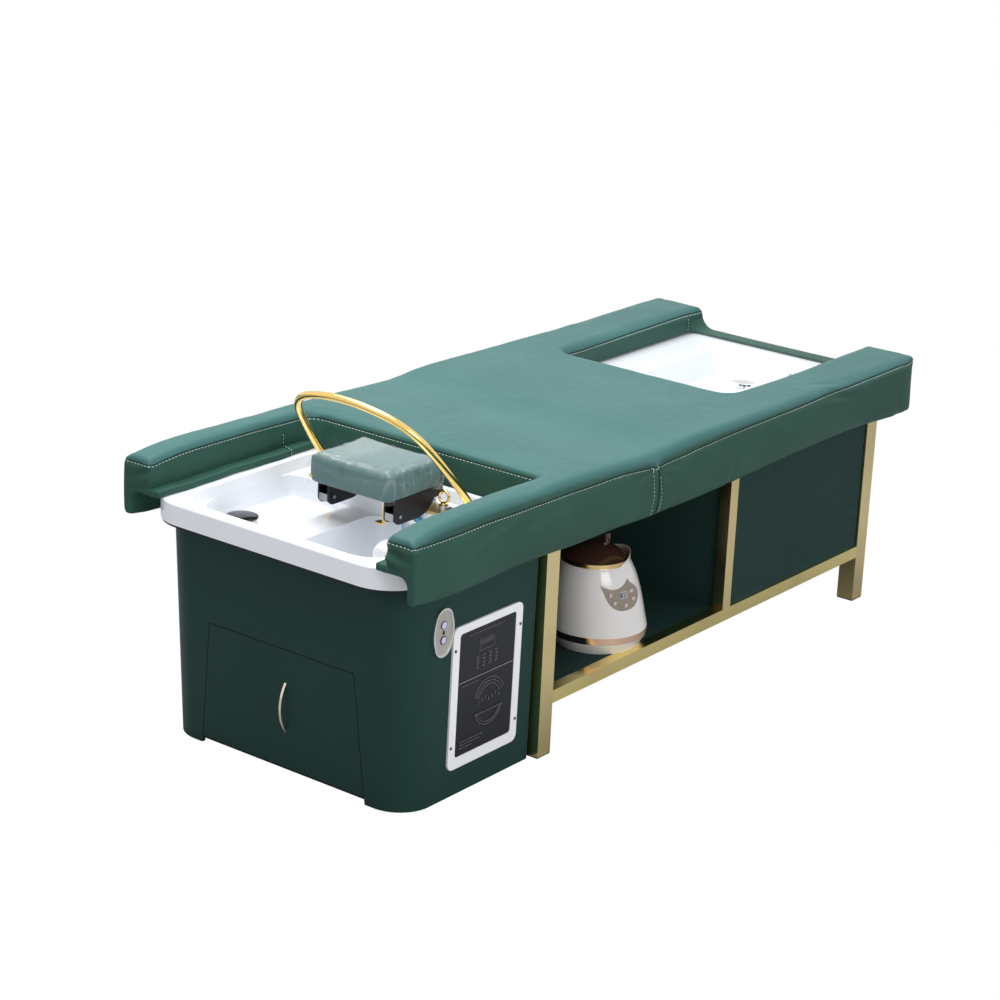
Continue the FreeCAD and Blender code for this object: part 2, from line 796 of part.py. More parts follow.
def make_cabinet():
    rail_inner = frame_half_width - rail_depth
    rail_start = leg_head_x + leg_size
    inner_y = frame_half_width - leg_size
    cross_inset = (leg_size - rail_depth) * HALF
    shelf = box(leg_head_x + cross_inset + rail_depth, leg_foot_x + cross_inset, -rail_inner, rail_inner,
                shelf_base, shelf_top)
    for x in (leg_head_x, leg_foot_x):
        for y in (-frame_half_width, inner_y):
            shelf = shelf.cut(box(x, x + leg_size, y, y + leg_size, 0, deck_top))
    hole = cylinder(waste_tail_radius + foot_pipe_clearance, V(foot_waste_x, 0, 0), AXIS_Z, deck_top)
    save("shelf_board", shelf.cut(hole))
    divider_x = post_x + (post_width - board_thickness) * HALF
    divider = box(divider_x, divider_x + board_thickness, -rail_inner, rail_inner, shelf_top, deck_base)
    notch_y = rail_inner - rail_depth
    for low in (-rail_inner, notch_y):
        divider = divider.cut(box(rail_start, leg_foot_x, low, low + rail_depth,
                                  deck_base - upper_rail_height, deck_base))
    save("divider_panel", divider)
    panel_y = frame_half_width - panel_recess
    front = box(post_x + post_width + front_panel_gap, leg_foot_x - front_panel_gap, -panel_y,
                -panel_y + board_thickness, shelf_top, deck_base)
    save("front_panel", front)
    back_y = panel_y - board_thickness
    shelf_edge = shelf_top
    backs = [box(rail_start, post_x, back_y, panel_y, shelf_edge, deck_base),
             box(post_x + post_width, leg_foot_x, back_y, panel_y, shelf_edge, deck_base)]
    end_inset = (leg_size - board_thickness) * HALF
    for x in (leg_head_x + end_inset, leg_foot_x + end_inset):
        backs.append(box(x, x + board_thickness, -inner_y, inner_y, shelf_top, deck_base))
    save("carcass_panels", *backs)
    deck_half = frame_half_width - deck_edge_inset
    deck = box(deck_start, deck_end, -deck_half, deck_half, deck_base, deck_top)
    c = deck_hole_clearance
    wide = foot_bowl_half_width + c
    opening = rounded_plate(foot_bowl_start - c, foot_bowl_end + c, -wide, wide, foot_bowl_corner,
                            foot_bowl_corner, 0, deck_top + overrun)
    save("deck_board", deck.cut(opening))


# Casing and door
def casing_block(inset, z0, z1):
    """The tapered outer form of the casing, drawn in by an inset, between two heights."""
    plans = []
    for z in (z0, z1):
        share = z / casing_top
        front = casing_front_floor - casing_front_lean * share + inset
        side = casing_half_width_floor + casing_side_lean * share - inset
        plans.append((front, casing_back - inset, -side, side))
    return frustum(plans[0], plans[1], z0, z1, casing_corner - inset, casing_back_corner - inset * HALF)


def door_outline(grow, depth0, depth1, low):
    slope = (door_half_width_bottom - door_half_width_top) / (door_top - door_bottom)
    top = door_top + grow
    wide_low = door_half_width_bottom + slope * (door_bottom - low) + grow
    wide_top = door_half_width_top - slope * grow + grow
    points = [V(depth0, -wide_low, low), V(depth0, wide_low, low), V(depth0, wide_top, top),
              V(depth0, -wide_top, top)]
    return prism(points, V(depth1 - depth0, 0, 0))


def side_pass(x, z, radius):
    """A round hole through the far side wall of the casing."""
    start = V(x, casing_half_width_floor - casing_wall - overrun, z)
    return cylinder(radius + wall_pass_clearance, start, AXIS_Y, casing_wall + casing_side_lean + 3 * overrun)


def make_casing():
    shell = casing_block(0, 0, casing_top)
    shell = shell.cut(casing_block(casing_wall, -overrun, casing_top + overrun))
    relief = basin_mouth_half_width + basin_wall + gasket_gap
    shell = shell.cut(box(rim_front, leg_head_x, -relief, relief, basin_deck_height - basin_wall, rim_top))
    shell = shell.cut(on_front(door_outline(door_gap, -overrun, casing_wall + overrun, -overrun)))
    module = rounded_plate(switch_x - switch_body_half_width - switch_body_clear,
                           switch_x + switch_body_half_width + switch_body_clear,
                           switch_z - switch_body_half_height - switch_body_clear,
                           switch_z + switch_body_half_height + switch_body_clear,
                           overrun, overrun, -casing_wall - overrun, overrun)
    module = turned(module, V(0, 0, 0), AXIS_X, 90)
    shell = shell.cut(on_side(module))
    for x, z in panel_screw_places():
        bore = cylinder(panel_screw_shank + panel_screw_clear, V(x, -overrun, z), AXIS_Y,
                        casing_wall + 2 * overrun)
        shell = shell.cut(on_side(bore))
    shell = shell.cut(side_pass(waste_x, drain_height, drain_radius))
    for i in range(2):
        shell = shell.cut(side_pass(inlet_first_x + i * inlet_spacing, inlet_height, inlet_radius))
    save("basin_casing", shell)
    board = casing_block(casing_wall + wall_pass_clearance, 0, casing_base_thickness)
    front_cut = on_front(box(-overrun, hinge_axis_depth + 3 * hinge_radius, -half_width, half_width,
                             -overrun, casing_base_thickness + overrun))
    save("casing_base", board.cut(front_cut))


def make_door():
    door = door_outline(0, 0, door_thickness, door_bottom)
    axis = V(hinge_axis_depth, 0, hinge_axis_height)
    span = hinge_knuckle * HALF + hinge_side_knuckle + 2 * hinge_play
    reach = hinge_radius + hinge_pocket_clear
    leaves = []
    knuckles = []
    for place in (-hinge_place, hinge_place):
        door = door.cut(box(axis.x - reach, door_thickness + overrun, place - span, place + span,
                            door_bottom - overrun, axis.z + reach))
        start = V(axis.x, place - hinge_knuckle * HALF, axis.z)
        barrel = tube(hinge_radius, hinge_pin_radius + hinge_pin_fit, start, AXIS_Y, hinge_knuckle)
        half = hinge_knuckle * HALF
        web = box(door_thickness, door_thickness + hinge_leaf, place - half, place + half,
                  axis.z, axis.z + hinge_leaf_height)
        bore = cylinder(hinge_pin_radius + hinge_pin_fit, start, AXIS_Y, hinge_knuckle)
        knuckles.append(on_front(fuse(barrel, web.cut(bore))))
        pin = cylinder(hinge_pin_radius, V(axis.x, place - span + hinge_play, axis.z), AXIS_Y,
                       2 * (span - hinge_play))
        pieces = [pin]
        wall_x = axis.x + 3 * hinge_radius
        for side in (-1, 1):
            y0 = place + side * (half + hinge_play)
            y1 = y0 + side * hinge_side_knuckle
            low, high = sorted((y0, y1))
            pieces.append(cylinder(hinge_radius, V(axis.x, low, axis.z), AXIS_Y, high - low))
            pieces.append(box(axis.x, wall_x + hinge_leaf, low, high, axis.z - hinge_leaf * HALF,
                              axis.z + hinge_leaf * HALF))
            pieces.append(box(wall_x, wall_x + hinge_leaf, low, high,
                              casing_base_thickness + hinge_leaf * HALF, axis.z))
        low_y = place - half - hinge_play - hinge_side_knuckle
        high_y = place + half + hinge_play + hinge_side_knuckle
        pieces.append(box(wall_x, wall_x + 4 * hinge_radius, low_y, high_y,
                          casing_base_thickness, casing_base_thickness + hinge_leaf))
        leaf = on_front(fuse(*pieces))
        floor = box(casing_front_top, 0, -half_width, half_width, 0, casing_base_thickness)
        leaves.append(leaf.cut(floor))
    save("access_door", on_front(door))
    save("door_hinge_knuckles", *knuckles)
    save("door_hinge_leaves", *leaves)
    middle = (door_handle_low + door_handle_high) * HALF
    y = door_handle_offset
    grip = door_handle_thickness
    low = V(0, y, door_handle_low)
    high = V(0, y, door_handle_high)
    outer = Part.Arc(low, V(-door_handle_reach, y, middle), high).toShape()
    low_in = V(0, y, door_handle_low + door_handle_foot)
    high_in = V(0, y, door_handle_high - door_handle_foot)
    inner = Part.Arc(high_in, V(-door_handle_reach + grip, y, middle), low_in).toShape()
    outline = Part.Wire([outer, Part.LineSegment(high, high_in).toShape(), inner,
                         Part.LineSegment(low_in, low).toShape()])
    bow = Part.Face(outline).extrude(V(0, door_handle_width, 0))
    bow.translate(V(0, -door_handle_width * HALF, 0))
    save("door_handle", on_front(bow))


# Head basin
def pocket(grow, plan, front, back, z1, z0, draft, lean=0, floor=0):
    """A drafted hollow between two heights, grown outwards by a wall for its outer form."""
    x0, x1, y0, y1 = plan
    upper = (x0 - grow, x1 + grow, y0 - grow, y1 + grow)
    lower = (upper[0] + draft, upper[1] - draft, upper[2] + draft, upper[3] - draft)
    hollow = frustum(lower, upper, z0, z1, front + grow, back + grow, floor)
    if lean:
        slope = [V(upper[0], upper[2], z1 - basin_lip_round), V(lower[0] + lean, upper[2], z0),
                 V(upper[0] - overrun, upper[2], z0), V(upper[0] - overrun, upper[2], z1 - basin_lip_round)]
        hollow = hollow.cut(prism(slope, V(0, upper[3] - upper[2], 0)))
    return hollow


def basin_pockets(grow, sink):
    """The four hollows of the head basin, each sunk a little further for its outer form."""
    far_round = 0 if grow else basin_far_floor_round
    near_round = 0 if grow else basin_near_floor_round
    front = basin_mouth_front
    wide = basin_mouth_half_width
    step = basin_draft
    shapes = []
    plan = (front, basin_mouth_back, -wide, wide)
    shapes.append(pocket(grow, plan, basin_mouth_corner, basin_back_corner, rim_top,
                         basin_deck_height - sink, step, basin_front_lean))
    front = front + step + basin_front_lean
    wide = wide - step
    plan = (front, basin_deck_front, -wide, wide)
    shapes.append(pocket(grow, plan, basin_mouth_corner, basin_back_corner, basin_deck_height,
                         basin_ridge_height - sink, step * HALF))
    front = front + step * HALF
    wide = wide - step * HALF
    back = basin_deck_front - step * HALF
    plan = (front, back, basin_ridge_far, wide)
    shapes.append(pocket(grow, plan, basin_pocket_corner, basin_back_corner, basin_ridge_height,
                         basin_far_floor - sink, step, 0, far_round))
    plan = (front, back, -wide, basin_ridge_near)
    shapes.append(pocket(grow, plan, basin_pocket_corner, basin_back_corner, basin_ridge_height,
                         basin_near_floor - sink, basin_near_draft, 0, near_round))
    return shapes


def round_lip(basin, x0, x1, half_y, z, radius):
    """Round the top edge of a mouth that lies inside a plan."""
    lip = []
    for e in level_edges(basin, z):
        b = e.BoundBox
        if b.XMin > x0 - radius and b.XMax < x1 + radius and abs(b.YMin) < half_y + radius:
            if abs(b.YMax) < half_y + radius:
                lip.append(e)
    return basin.makeFillet(radius, lip)


def make_basin():
    rim = rounded_plate(rim_front, rim_back, -rim_half_width, rim_half_width, rim_corner, rim_back_corner,
                        rim_top - rim_skirt_depth, rim_top)
    rim = rim.makeFillet(rim_edge_round, level_edges(rim, rim_top))
    w = rim_wall
    hollow = rounded_plate(rim_front + w, rim_back - w, -rim_half_width + w, rim_half_width - w,
                           rim_corner - w, rim_back_corner - w, rim_top - rim_skirt_depth - overrun,
                           rim_top - w)
    outer = fuse(*basin_pockets(basin_wall, basin_wall))
    basin = fuse(rim.cut(hollow), outer)
    for hole in basin_pockets(0, 0):
        basin = basin.cut(hole)
    basin = round_lip(basin, basin_mouth_front, basin_mouth_back, basin_mouth_half_width, rim_top,
                      basin_lip_round)
    down = -AXIS_Z
    for x, y, floor in ((waste_x, waste_y, basin_far_floor), (sump_x, sump_y, basin_near_floor)):
        basin = basin.cut(cylinder(waste_tail_radius, V(x, y, floor + overrun), down,
                                   basin_wall + 2 * overrun))
    start = V(basin_deck_front - 4 * overrun, strainer_y, strainer_z)
    basin = basin.cut(cylinder(strainer_tail_radius, start, AXIS_X, 8 * overrun))
    deep = basin_wall + 2 * overrun
    for y in bridge_screw_places:
        start = V(bridge_screw_row, y, basin_deck_height + overrun)
        basin = basin.cut(cylinder(screw_shank_radius + screw_hole_clear, start, down, deep))
    start = V(valve_x, valve_y, basin_deck_height + overrun)
    basin = basin.cut(cylinder(valve_tail_radius + screw_hole_clear, start, down, deep))
    save("head_basin", basin)
    g = gasket_inset
    low = rim_top - rim_skirt_depth - gasket_thickness
    ring = rounded_plate(rim_front + g, rim_back - g, -rim_half_width + g, rim_half_width - g, rim_corner - g,
                         rim_back_corner - g, low, low + gasket_thickness)
    ring = ring.cut(casing_block(-gasket_gap, 0, casing_top))
    legs_clear = box(leg_head_x - gasket_gap, 0, -half_width, half_width, 0, deck_top)
    save("rim_gasket", ring.cut(legs_clear))
    return basin


def waste_body(x, y, floor, wall):
    flange = cylinder(waste_flange_radius, V(x, y, floor), AXIS_Z, waste_flange_thickness)
    tail = cylinder(waste_tail_radius, V(x, y, floor - waste_tail_length), AXIS_Z, waste_tail_length)
    nut = cylinder(waste_nut_radius, V(x, y, floor - wall - waste_nut_thickness), AXIS_Z, waste_nut_thickness)
    body = fuse(flange, tail, nut)
    depth = waste_tail_length + waste_flange_thickness + overrun
    body = body.cut(cylinder(waste_bore_radius, V(x, y, floor - waste_tail_length), AXIS_Z, depth))
    return body


def waste_guide(x, y, floor):
    """Spider across the bore that guides the stem of the cap."""
    low = floor - waste_guide_height
    post = cylinder(waste_guide_radius, V(x, y, low), AXIS_Z, waste_guide_height)
    w = waste_spoke_width * HALF
    r = waste_bore_radius + overrun * HALF
    arms = fuse(box(x - r, x + r, y - w, y + w, low, floor), box(x - w, x + w, y - r, y + r, low, floor))
    bore = cylinder(waste_stem_radius + waste_stem_fit, V(x, y, low - overrun), AXIS_Z,
                    waste_guide_height + 2 * overrun)
    return fuse(post, arms).cut(bore)


def waste_cap(x, y, floor):
    seat = floor + waste_flange_thickness + waste_cap_lift
    disc = domed_disc(waste_cap_radius, waste_cap_edge, waste_cap_dome, V(x, y, seat), AXIS_Z)
    low = floor - waste_guide_height
    stem = cylinder(waste_stem_radius, V(x, y, low), AXIS_Z, seat - low)
    return fuse(disc, stem)


def make_wastes():
    bodies = []
    for x, y, floor, wall in ((waste_x, waste_y, basin_far_floor, basin_wall),
                              (foot_waste_x, 0, foot_bowl_floor, foot_basin_wall)):
        bodies.append(fuse(waste_body(x, y, floor, wall), waste_guide(x, y, floor)))
    save("waste_cap", waste_cap(waste_x, waste_y, basin_far_floor))
    save("foot_waste_cap", waste_cap(foot_waste_x, 0, foot_bowl_floor))
    sump = waste_body(sump_x, sump_y, basin_near_floor, basin_wall)
    plate = cylinder(waste_bore_radius, V(sump_x, sump_y, basin_near_floor), AXIS_Z, waste_flange_thickness)
    for i in range(sump_slot_count):
        y = sump_y + (i - (sump_slot_count - 1) * HALF) * (sump_slot_width + sump_slot_bar)
        half = math.sqrt(waste_bore_radius ** 2 - (y - sump_y) ** 2) - sump_slot_width
        plate = plate.cut(box(sump_x - half, sump_x + half, y - sump_slot_width * HALF,
                              y + sump_slot_width * HALF, 0, rim_top))
    bodies.append(fuse(sump, plate))
    save("waste_fittings", *bodies)
    trap_top = basin_far_floor - waste_tail_length
    trap = cylinder(trap_radius, V(waste_x, waste_y, trap_top - trap_depth), AXIS_Z, trap_depth)
    pipe = cylinder(drain_radius, V(waste_x, waste_y, drain_height), AXIS_Y, drain_end - waste_y)
    bore = cylinder(drain_bore, V(waste_x, waste_y, drain_height), AXIS_Y, drain_end - waste_y + overrun)
    wall_y = casing_half_width_floor + casing_side_lean * (drain_height + wall_flange_radius) / casing_top
    flange = cylinder(wall_flange_radius, V(waste_x, wall_y, drain_height), AXIS_Y, wall_flange_thickness)
    save("drain_trap", fuse(trap, pipe, flange).cut(bore))


def make_strainer(basin):
    wall_x = basin_deck_front - basin_draft * HALF
    front = wall_x - strainer_thickness
    seal = tube(strainer_radius, strainer_face, V(front, strainer_y, strainer_z), AXIS_X,
                strainer_thickness * 3)
    seal = seal.cut(basin)
    save("strainer_seal", min(seal.Solids, key=lambda s: s.BoundBox.XMin))
    face_x = front - strainer_dome
    disc = domed_disc(strainer_face, strainer_dome, strainer_dome, V(front, strainer_y, strainer_z), -AXIS_X)
    tail = cylinder(strainer_tail_radius, V(face_x, strainer_y, strainer_z), AXIS_X,
                    strainer_tail_length + basin_wall)
    body = fuse(disc, tail)
    save("strainer_grille", body.cut(cylinder(strainer_tail_radius - strainer_dome,
                                              V(face_x + strainer_dome, strainer_y, strainer_z),
                                              AXIS_X, strainer_tail_length * 2)))


def make_plumbing():
    fittings = []
    for i in range(2):
        x = inlet_first_x + i * inlet_spacing
        wall_y = casing_half_width_floor + casing_side_lean * inlet_height / casing_top
        start = V(x, wall_y - casing_wall - inlet_inside, inlet_height)
        nipple = cylinder(inlet_radius, start, AXIS_Y, inlet_end - start.y)
        slope = casing_side_lean * inlet_nut_radius / casing_top
        nut = cylinder(inlet_nut_radius, V(x, wall_y - slope - casing_wall - inlet_nut_thickness,
                                           inlet_height), AXIS_Y, inlet_nut_thickness)
        lock = cylinder(inlet_nut_radius, V(x, wall_y + slope, inlet_height), AXIS_Y, inlet_lock_thickness)
        bore = cylinder(inlet_bore, start - AXIS_Y * overrun, AXIS_Y, inlet_end)
        fittings.append(fuse(nipple, nut, lock).cut(bore))
    save("inlet_fittings", *fittings)
    centre_z = casing_base_thickness + pump_foot_height + pump_head_radius
    head = cylinder(pump_head_radius, V(sump_x - pump_head_length * HALF, sump_y, centre_z), AXIS_X,
                    pump_head_length)
    motor_start = sump_x + pump_head_length * HALF
    motor = cylinder(pump_motor_radius, V(motor_start, sump_y, centre_z), AXIS_X, pump_motor_length)
    pump_front = sump_x - pump_head_length * HALF
    pump_back = motor_start + pump_motor_length
    pump_base = casing_base_thickness
    foot = box(pump_front, pump_back, sump_y - pump_foot_width * HALF, sump_y + pump_foot_width * HALF,
               pump_base, pump_base + 2 * pump_foot_height)
    port_top = centre_z + pump_head_radius + pump_port_length
    inlet = cylinder(pump_port_radius, V(sump_x, sump_y, centre_z), AXIS_Z, port_top - centre_z)
    outlet = cylinder(pump_port_radius, V(sump_x, sump_y, centre_z), AXIS_Y,
                      pump_head_radius + pump_port_length)
    saddle = box(pump_front, pump_back, sump_y - pump_foot_height, sump_y + pump_foot_height, pump_base,
                 centre_z - pump_motor_radius * HALF)
    save("circulation_pump", fuse(head, motor, foot, saddle, inlet, outlet))
    tank = rounded_plate(tank_x, tank_x + tank_length, tank_y, tank_y + tank_width, tank_corner, tank_corner,
                         casing_base_thickness, casing_base_thickness + tank_height)
    save("water_tank", tank)
    hoses = []
    sump_low = basin_near_floor - waste_tail_length
    hoses.append(cylinder(sump_hose_radius, V(sump_x, sump_y, port_top), AXIS_Z, sump_low - port_top))
    outlet_end = sump_y + pump_head_radius + pump_port_length
    hoses.append(cylinder(pump_port_radius, V(sump_x, outlet_end, centre_z), AXIS_Y, tank_y - outlet_end))
    tank_side = tank_x + tank_length
    tank_mid = tank_y + tank_width * HALF
    riser = [V(tank_side, tank_mid, riser_run_height), V(valve_x, tank_mid, riser_run_height),
             V(valve_x, valve_y, riser_run_height),
             V(valve_x, valve_y, basin_deck_height - valve_tail_length)]
    hoses.append(swept(round_path(riser, hose_bend), hose_radius, riser[0], AXIS_X))
    valve_mid = bridge_top + valve_height * HALF
    feed_start = valve_y - valve_radius - valve_port_length
    feed_end = -arch_half_width + arch_hub_length * HALF + feed_gap
    feed = [V(valve_x, feed_start, valve_mid), V(valve_x, feed_start - feed_run, valve_mid),
            V(arch_axis_x, feed_end + feed_run, arch_axis_height), V(arch_axis_x, feed_end, arch_axis_height)]
    hoses.append(swept(round_path(feed, feed_bend), valve_port_radius, feed[0], AXIS_Y))
    foot_low = foot_bowl_floor - waste_tail_length
    hoses.append(cylinder(waste_tail_radius, V(foot_waste_x, 0, foot_pipe_end), AXIS_Z,
                          foot_low - foot_pipe_end))
    save("plumbing_hoses", *hoses)


# Bridge, neck rest, arch and valve
def make_bridge():
    bar = rounded_plate(bridge_front, bridge_back, -bridge_half_length, bridge_half_length, bridge_corner,
                        bridge_corner, basin_deck_height, bridge_top)
    middle = bridge_screw_row
    screws = []
    for y in bridge_screw_places:
        bore = cylinder(screw_shank_radius + screw_hole_clear, V(middle, y, 0), AXIS_Z, rim_top)
        bar = bar.cut(bore)
        head = cylinder(screw_head_radius, V(middle, y, bridge_top), AXIS_Z, screw_head_height)
        shank = cylinder(screw_shank_radius, V(middle, y, bridge_top - screw_length), AXIS_Z, screw_length)
        nut_top = basin_deck_height - basin_wall
        nut = cylinder(screw_head_radius, V(middle, y, nut_top - screw_head_height), AXIS_Z,
                       screw_head_height)
        screws.append(fuse(head, shank, nut))
    bar = bar.cut(cylinder(valve_tail_radius + screw_hole_clear, V(valve_x, valve_y, 0), AXIS_Z, rim_top))
    save("bridge_bar", bar)
    save("bridge_screws", *screws)
    pivots = []
    for y in (-neck_arm_place, neck_arm_place):
        half = neck_block_width * HALF
        block = box(neck_block_front, neck_block_back, y - half, y + half, bridge_top,
                    bridge_top + neck_block_height)
        bore = cylinder(neck_pin_radius, V(neck_pin_x, y - half - overrun, neck_pin_z), AXIS_Y,
                        neck_block_width + 2 * overrun)
        pivots.append(block.cut(bore))
        reach = half + neck_plate_play + neck_plate_thickness + neck_pin_stand
        pivots.append(cylinder(neck_pin_radius, V(neck_pin_x, y - reach, neck_pin_z), AXIS_Y, 2 * reach))
    save("neck_pivots", *pivots)


def neck_plate(y):
    nose = V(neck_pin_x - neck_plate_nose, y, neck_pin_z)
    diagonal = neck_plate_nose * math.sqrt(HALF)
    chin = V(neck_pin_x, y, neck_pin_z - neck_plate_nose)
    cheek = V(neck_pin_x - diagonal, y, neck_pin_z - diagonal)
    heel = V(neck_plate_heel_x, y, neck_pin_z - neck_plate_nose)
    rise = V(neck_plate_rise_x, y, neck_plate_rise)
    sag = (heel + rise) * HALF + V(1, 0, -1).normalize() * neck_plate_sag
    tail = V(neck_plate_back, y, neck_plate_rise + neck_plate_thickness)
    high = V(neck_plate_back, y, neck_plate_top)
    front = V(neck_pin_x - neck_plate_nose, y, neck_plate_top)
    edges = [Part.Arc(nose, cheek, chin).toShape(), Part.LineSegment(chin, heel).toShape(),
             Part.Arc(heel, sag, rise).toShape(), Part.LineSegment(rise, tail).toShape(),
             Part.LineSegment(tail, high).toShape(), Part.LineSegment(high, front).toShape(),
             Part.LineSegment(front, nose).toShape()]
    return Part.Face(Part.Wire(edges)).extrude(V(0, neck_plate_thickness, 0))


def make_neck_rest():
    brackets = []
    gap = neck_block_width * HALF + neck_plate_play
    for place in (-neck_arm_place, neck_arm_place):
        far = neck_plate(place + gap)
        near = neck_plate(place - gap - neck_plate_thickness)
        web = box(neck_pin_x - neck_plate_nose, neck_plate_back, place - gap, place + gap,
                  neck_plate_top - neck_web_thickness, neck_plate_top)
        start = V(neck_pin_x, place - neck_block_width, neck_pin_z)
        bore = cylinder(neck_pin_radius + neck_pin_fit, start, AXIS_Y, 2 * neck_block_width)
        brackets.append(fuse(far, near, web).cut(bore))
    save("neck_brackets", *brackets)
    side = -neck_arm_place + gap + neck_plate_thickness
    tab_x = neck_pin_x - neck_plate_nose
    upright = box(tab_x, tab_x + tilt_tab_width, side, side + tilt_tab_thickness,
                  neck_pin_z - neck_plate_nose, neck_plate_top)
    low = neck_pin_z - neck_plate_nose - tilt_tab_thickness
    foot = rounded_plate(tab_x - tilt_tab_toe, tab_x + tilt_tab_width, side, side + tilt_tab_reach,
                         tilt_tab_toe, tilt_tab_toe, low, low + tilt_tab_thickness)
    save("tilt_stop", fuse(upright, foot))
    back = pillow_front + pillow_length
    half = pillow_width * HALF
    i = pillow_board_inset
    board = rounded_plate(pillow_front + i, back - i, -half + i, half - i, i, i, neck_plate_top,
                          neck_plate_top + pillow_board_thickness)
    save("pillow_board", board)
    wires = []
    for height, draw in pillow_section_shares:
        z = neck_plate_top + height * (pillow_top - neck_plate_top)
        dx = draw * pillow_length * HALF
        wires.append(rounded_wire(pillow_front + dx, back - dx, -half + dx, half - dx, pillow_corner,
                                  pillow_corner, z))
    pillow = Part.makeLoft(wires, True, False)
    save("neck_pillow", pillow.cut(board))


def arch_point(y, rise):
    lean = math.radians(arch_lean_degrees)
    return V(arch_axis_x - rise * math.sin(lean), y, arch_axis_height + rise * math.cos(lean))


def arch_arc(y, rise, heading, radius, turn):
    """One tangent arc in the plane of the arch: its start, middle and end, and the new heading."""
    places = []
    for share in (HALF, 1.0):
        ahead = heading + turn * share
        dy = radius * (math.sin(math.radians(ahead)) - math.sin(math.radians(heading)))
        dr = radius * (math.cos(math.radians(heading)) - math.cos(math.radians(ahead)))
        places.append((y + dy, rise + dr))
    first, last = places
    edge = Part.Arc(arch_point(y, rise), arch_point(*first), arch_point(*last))
    return edge, last[0], last[1], heading + turn


def make_arch():
    upright = 90.0
    base = arch_point(arch_half_width, 0)
    knee = arch_point(arch_half_width, arch_straight)
    halves = [Part.LineSegment(base, knee)]
    edge, y, rise, heading = arch_arc(arch_half_width, arch_straight, upright, arch_side_radius,
                                      arch_side_turn_degrees)
    halves.append(edge)
    edge, y, rise, heading = arch_arc(y, rise, heading, arch_shoulder_radius, arch_shoulder_turn_degrees)
    halves.append(edge)
    crown_turn = 2 * upright - heading
    crown_radius = y / math.sin(math.radians(crown_turn))
    edge, y, rise, heading = arch_arc(y, rise, heading, crown_radius, crown_turn)
    halves.append(edge)
    one = [e.toShape() for e in halves]
    other = [mirrored(e) for e in one]
    path = Part.Wire(Part.__sortEdges__(one + other))
    lean = math.radians(arch_lean_degrees)
    up = V(-math.sin(lean), 0, math.cos(lean))
    arch = swept(path, arch_tube_radius, base, up).cut(swept(path, arch_tube_bore, base, up))
    print("arch rise", round(rise, 1), "crown radius", round(crown_radius, 1))
    pieces = [arch]
    half_hub = arch_hub_length * HALF
    sockets = []
    for sign in (-1, 1):
        side = AXIS_Y * sign
        centre = arch_point(arch_half_width * sign, 0)
        pieces.append(cylinder(arch_hub_radius, centre - side * half_hub, side, arch_hub_length))
        pieces.append(cylinder(arch_pin_radius, centre, side, half_hub + arch_pin_length))
        near = sign * (arch_half_width + half_hub + arch_socket_gap)
        low, high = sorted((near, near + sign * arch_socket_width))
        width = arch_socket_length * HALF
        block = box(arch_axis_x - width, bridge_back, low, high, bridge_top,
                    arch_axis_height + arch_socket_head)
        bore = cylinder(arch_pin_radius + arch_pin_fit, centre, side, half_hub + arch_pin_length
                        + arch_socket_gap)
        sockets.append(block.cut(bore))
    save("spray_arch", fuse(*pieces))
    save("arch_sockets", *sockets)


def make_valve():
    base = V(valve_x, valve_y, bridge_top)
    body = cylinder(valve_radius, base, AXIS_Z, valve_height)
    tail = cylinder(valve_tail_radius, base - AXIS_Z * (bridge_thickness + valve_tail_length), AXIS_Z,
                    bridge_thickness + valve_tail_length)
    middle = base + AXIS_Z * (valve_height * HALF)
    port = cylinder(valve_port_radius, middle, -AXIS_Y, valve_radius + valve_port_length)
    top = base + AXIS_Z * valve_height
    bore = cylinder(valve_stem_radius + valve_stem_fit, top - AXIS_Z * (valve_stem_depth + valve_hub_gap),
                    AXIS_Z, valve_stem_depth + overrun)
    save("valve_body", fuse(body, tail, port).cut(bore))
    hub = cylinder(valve_hub_radius, top + AXIS_Z * valve_hub_gap, AXIS_Z, valve_hub_height)
    stem = cylinder(valve_stem_radius, top - AXIS_Z * valve_stem_depth, AXIS_Z,
                    valve_stem_depth + valve_hub_height)
    centre = top + AXIS_Z * (valve_hub_height + valve_ring_radius)
    ring = Part.makeTorus(valve_ring_radius, valve_ring_bar, centre, AXIS_X)
    save("valve_handle", fuse(hub, stem, ring))


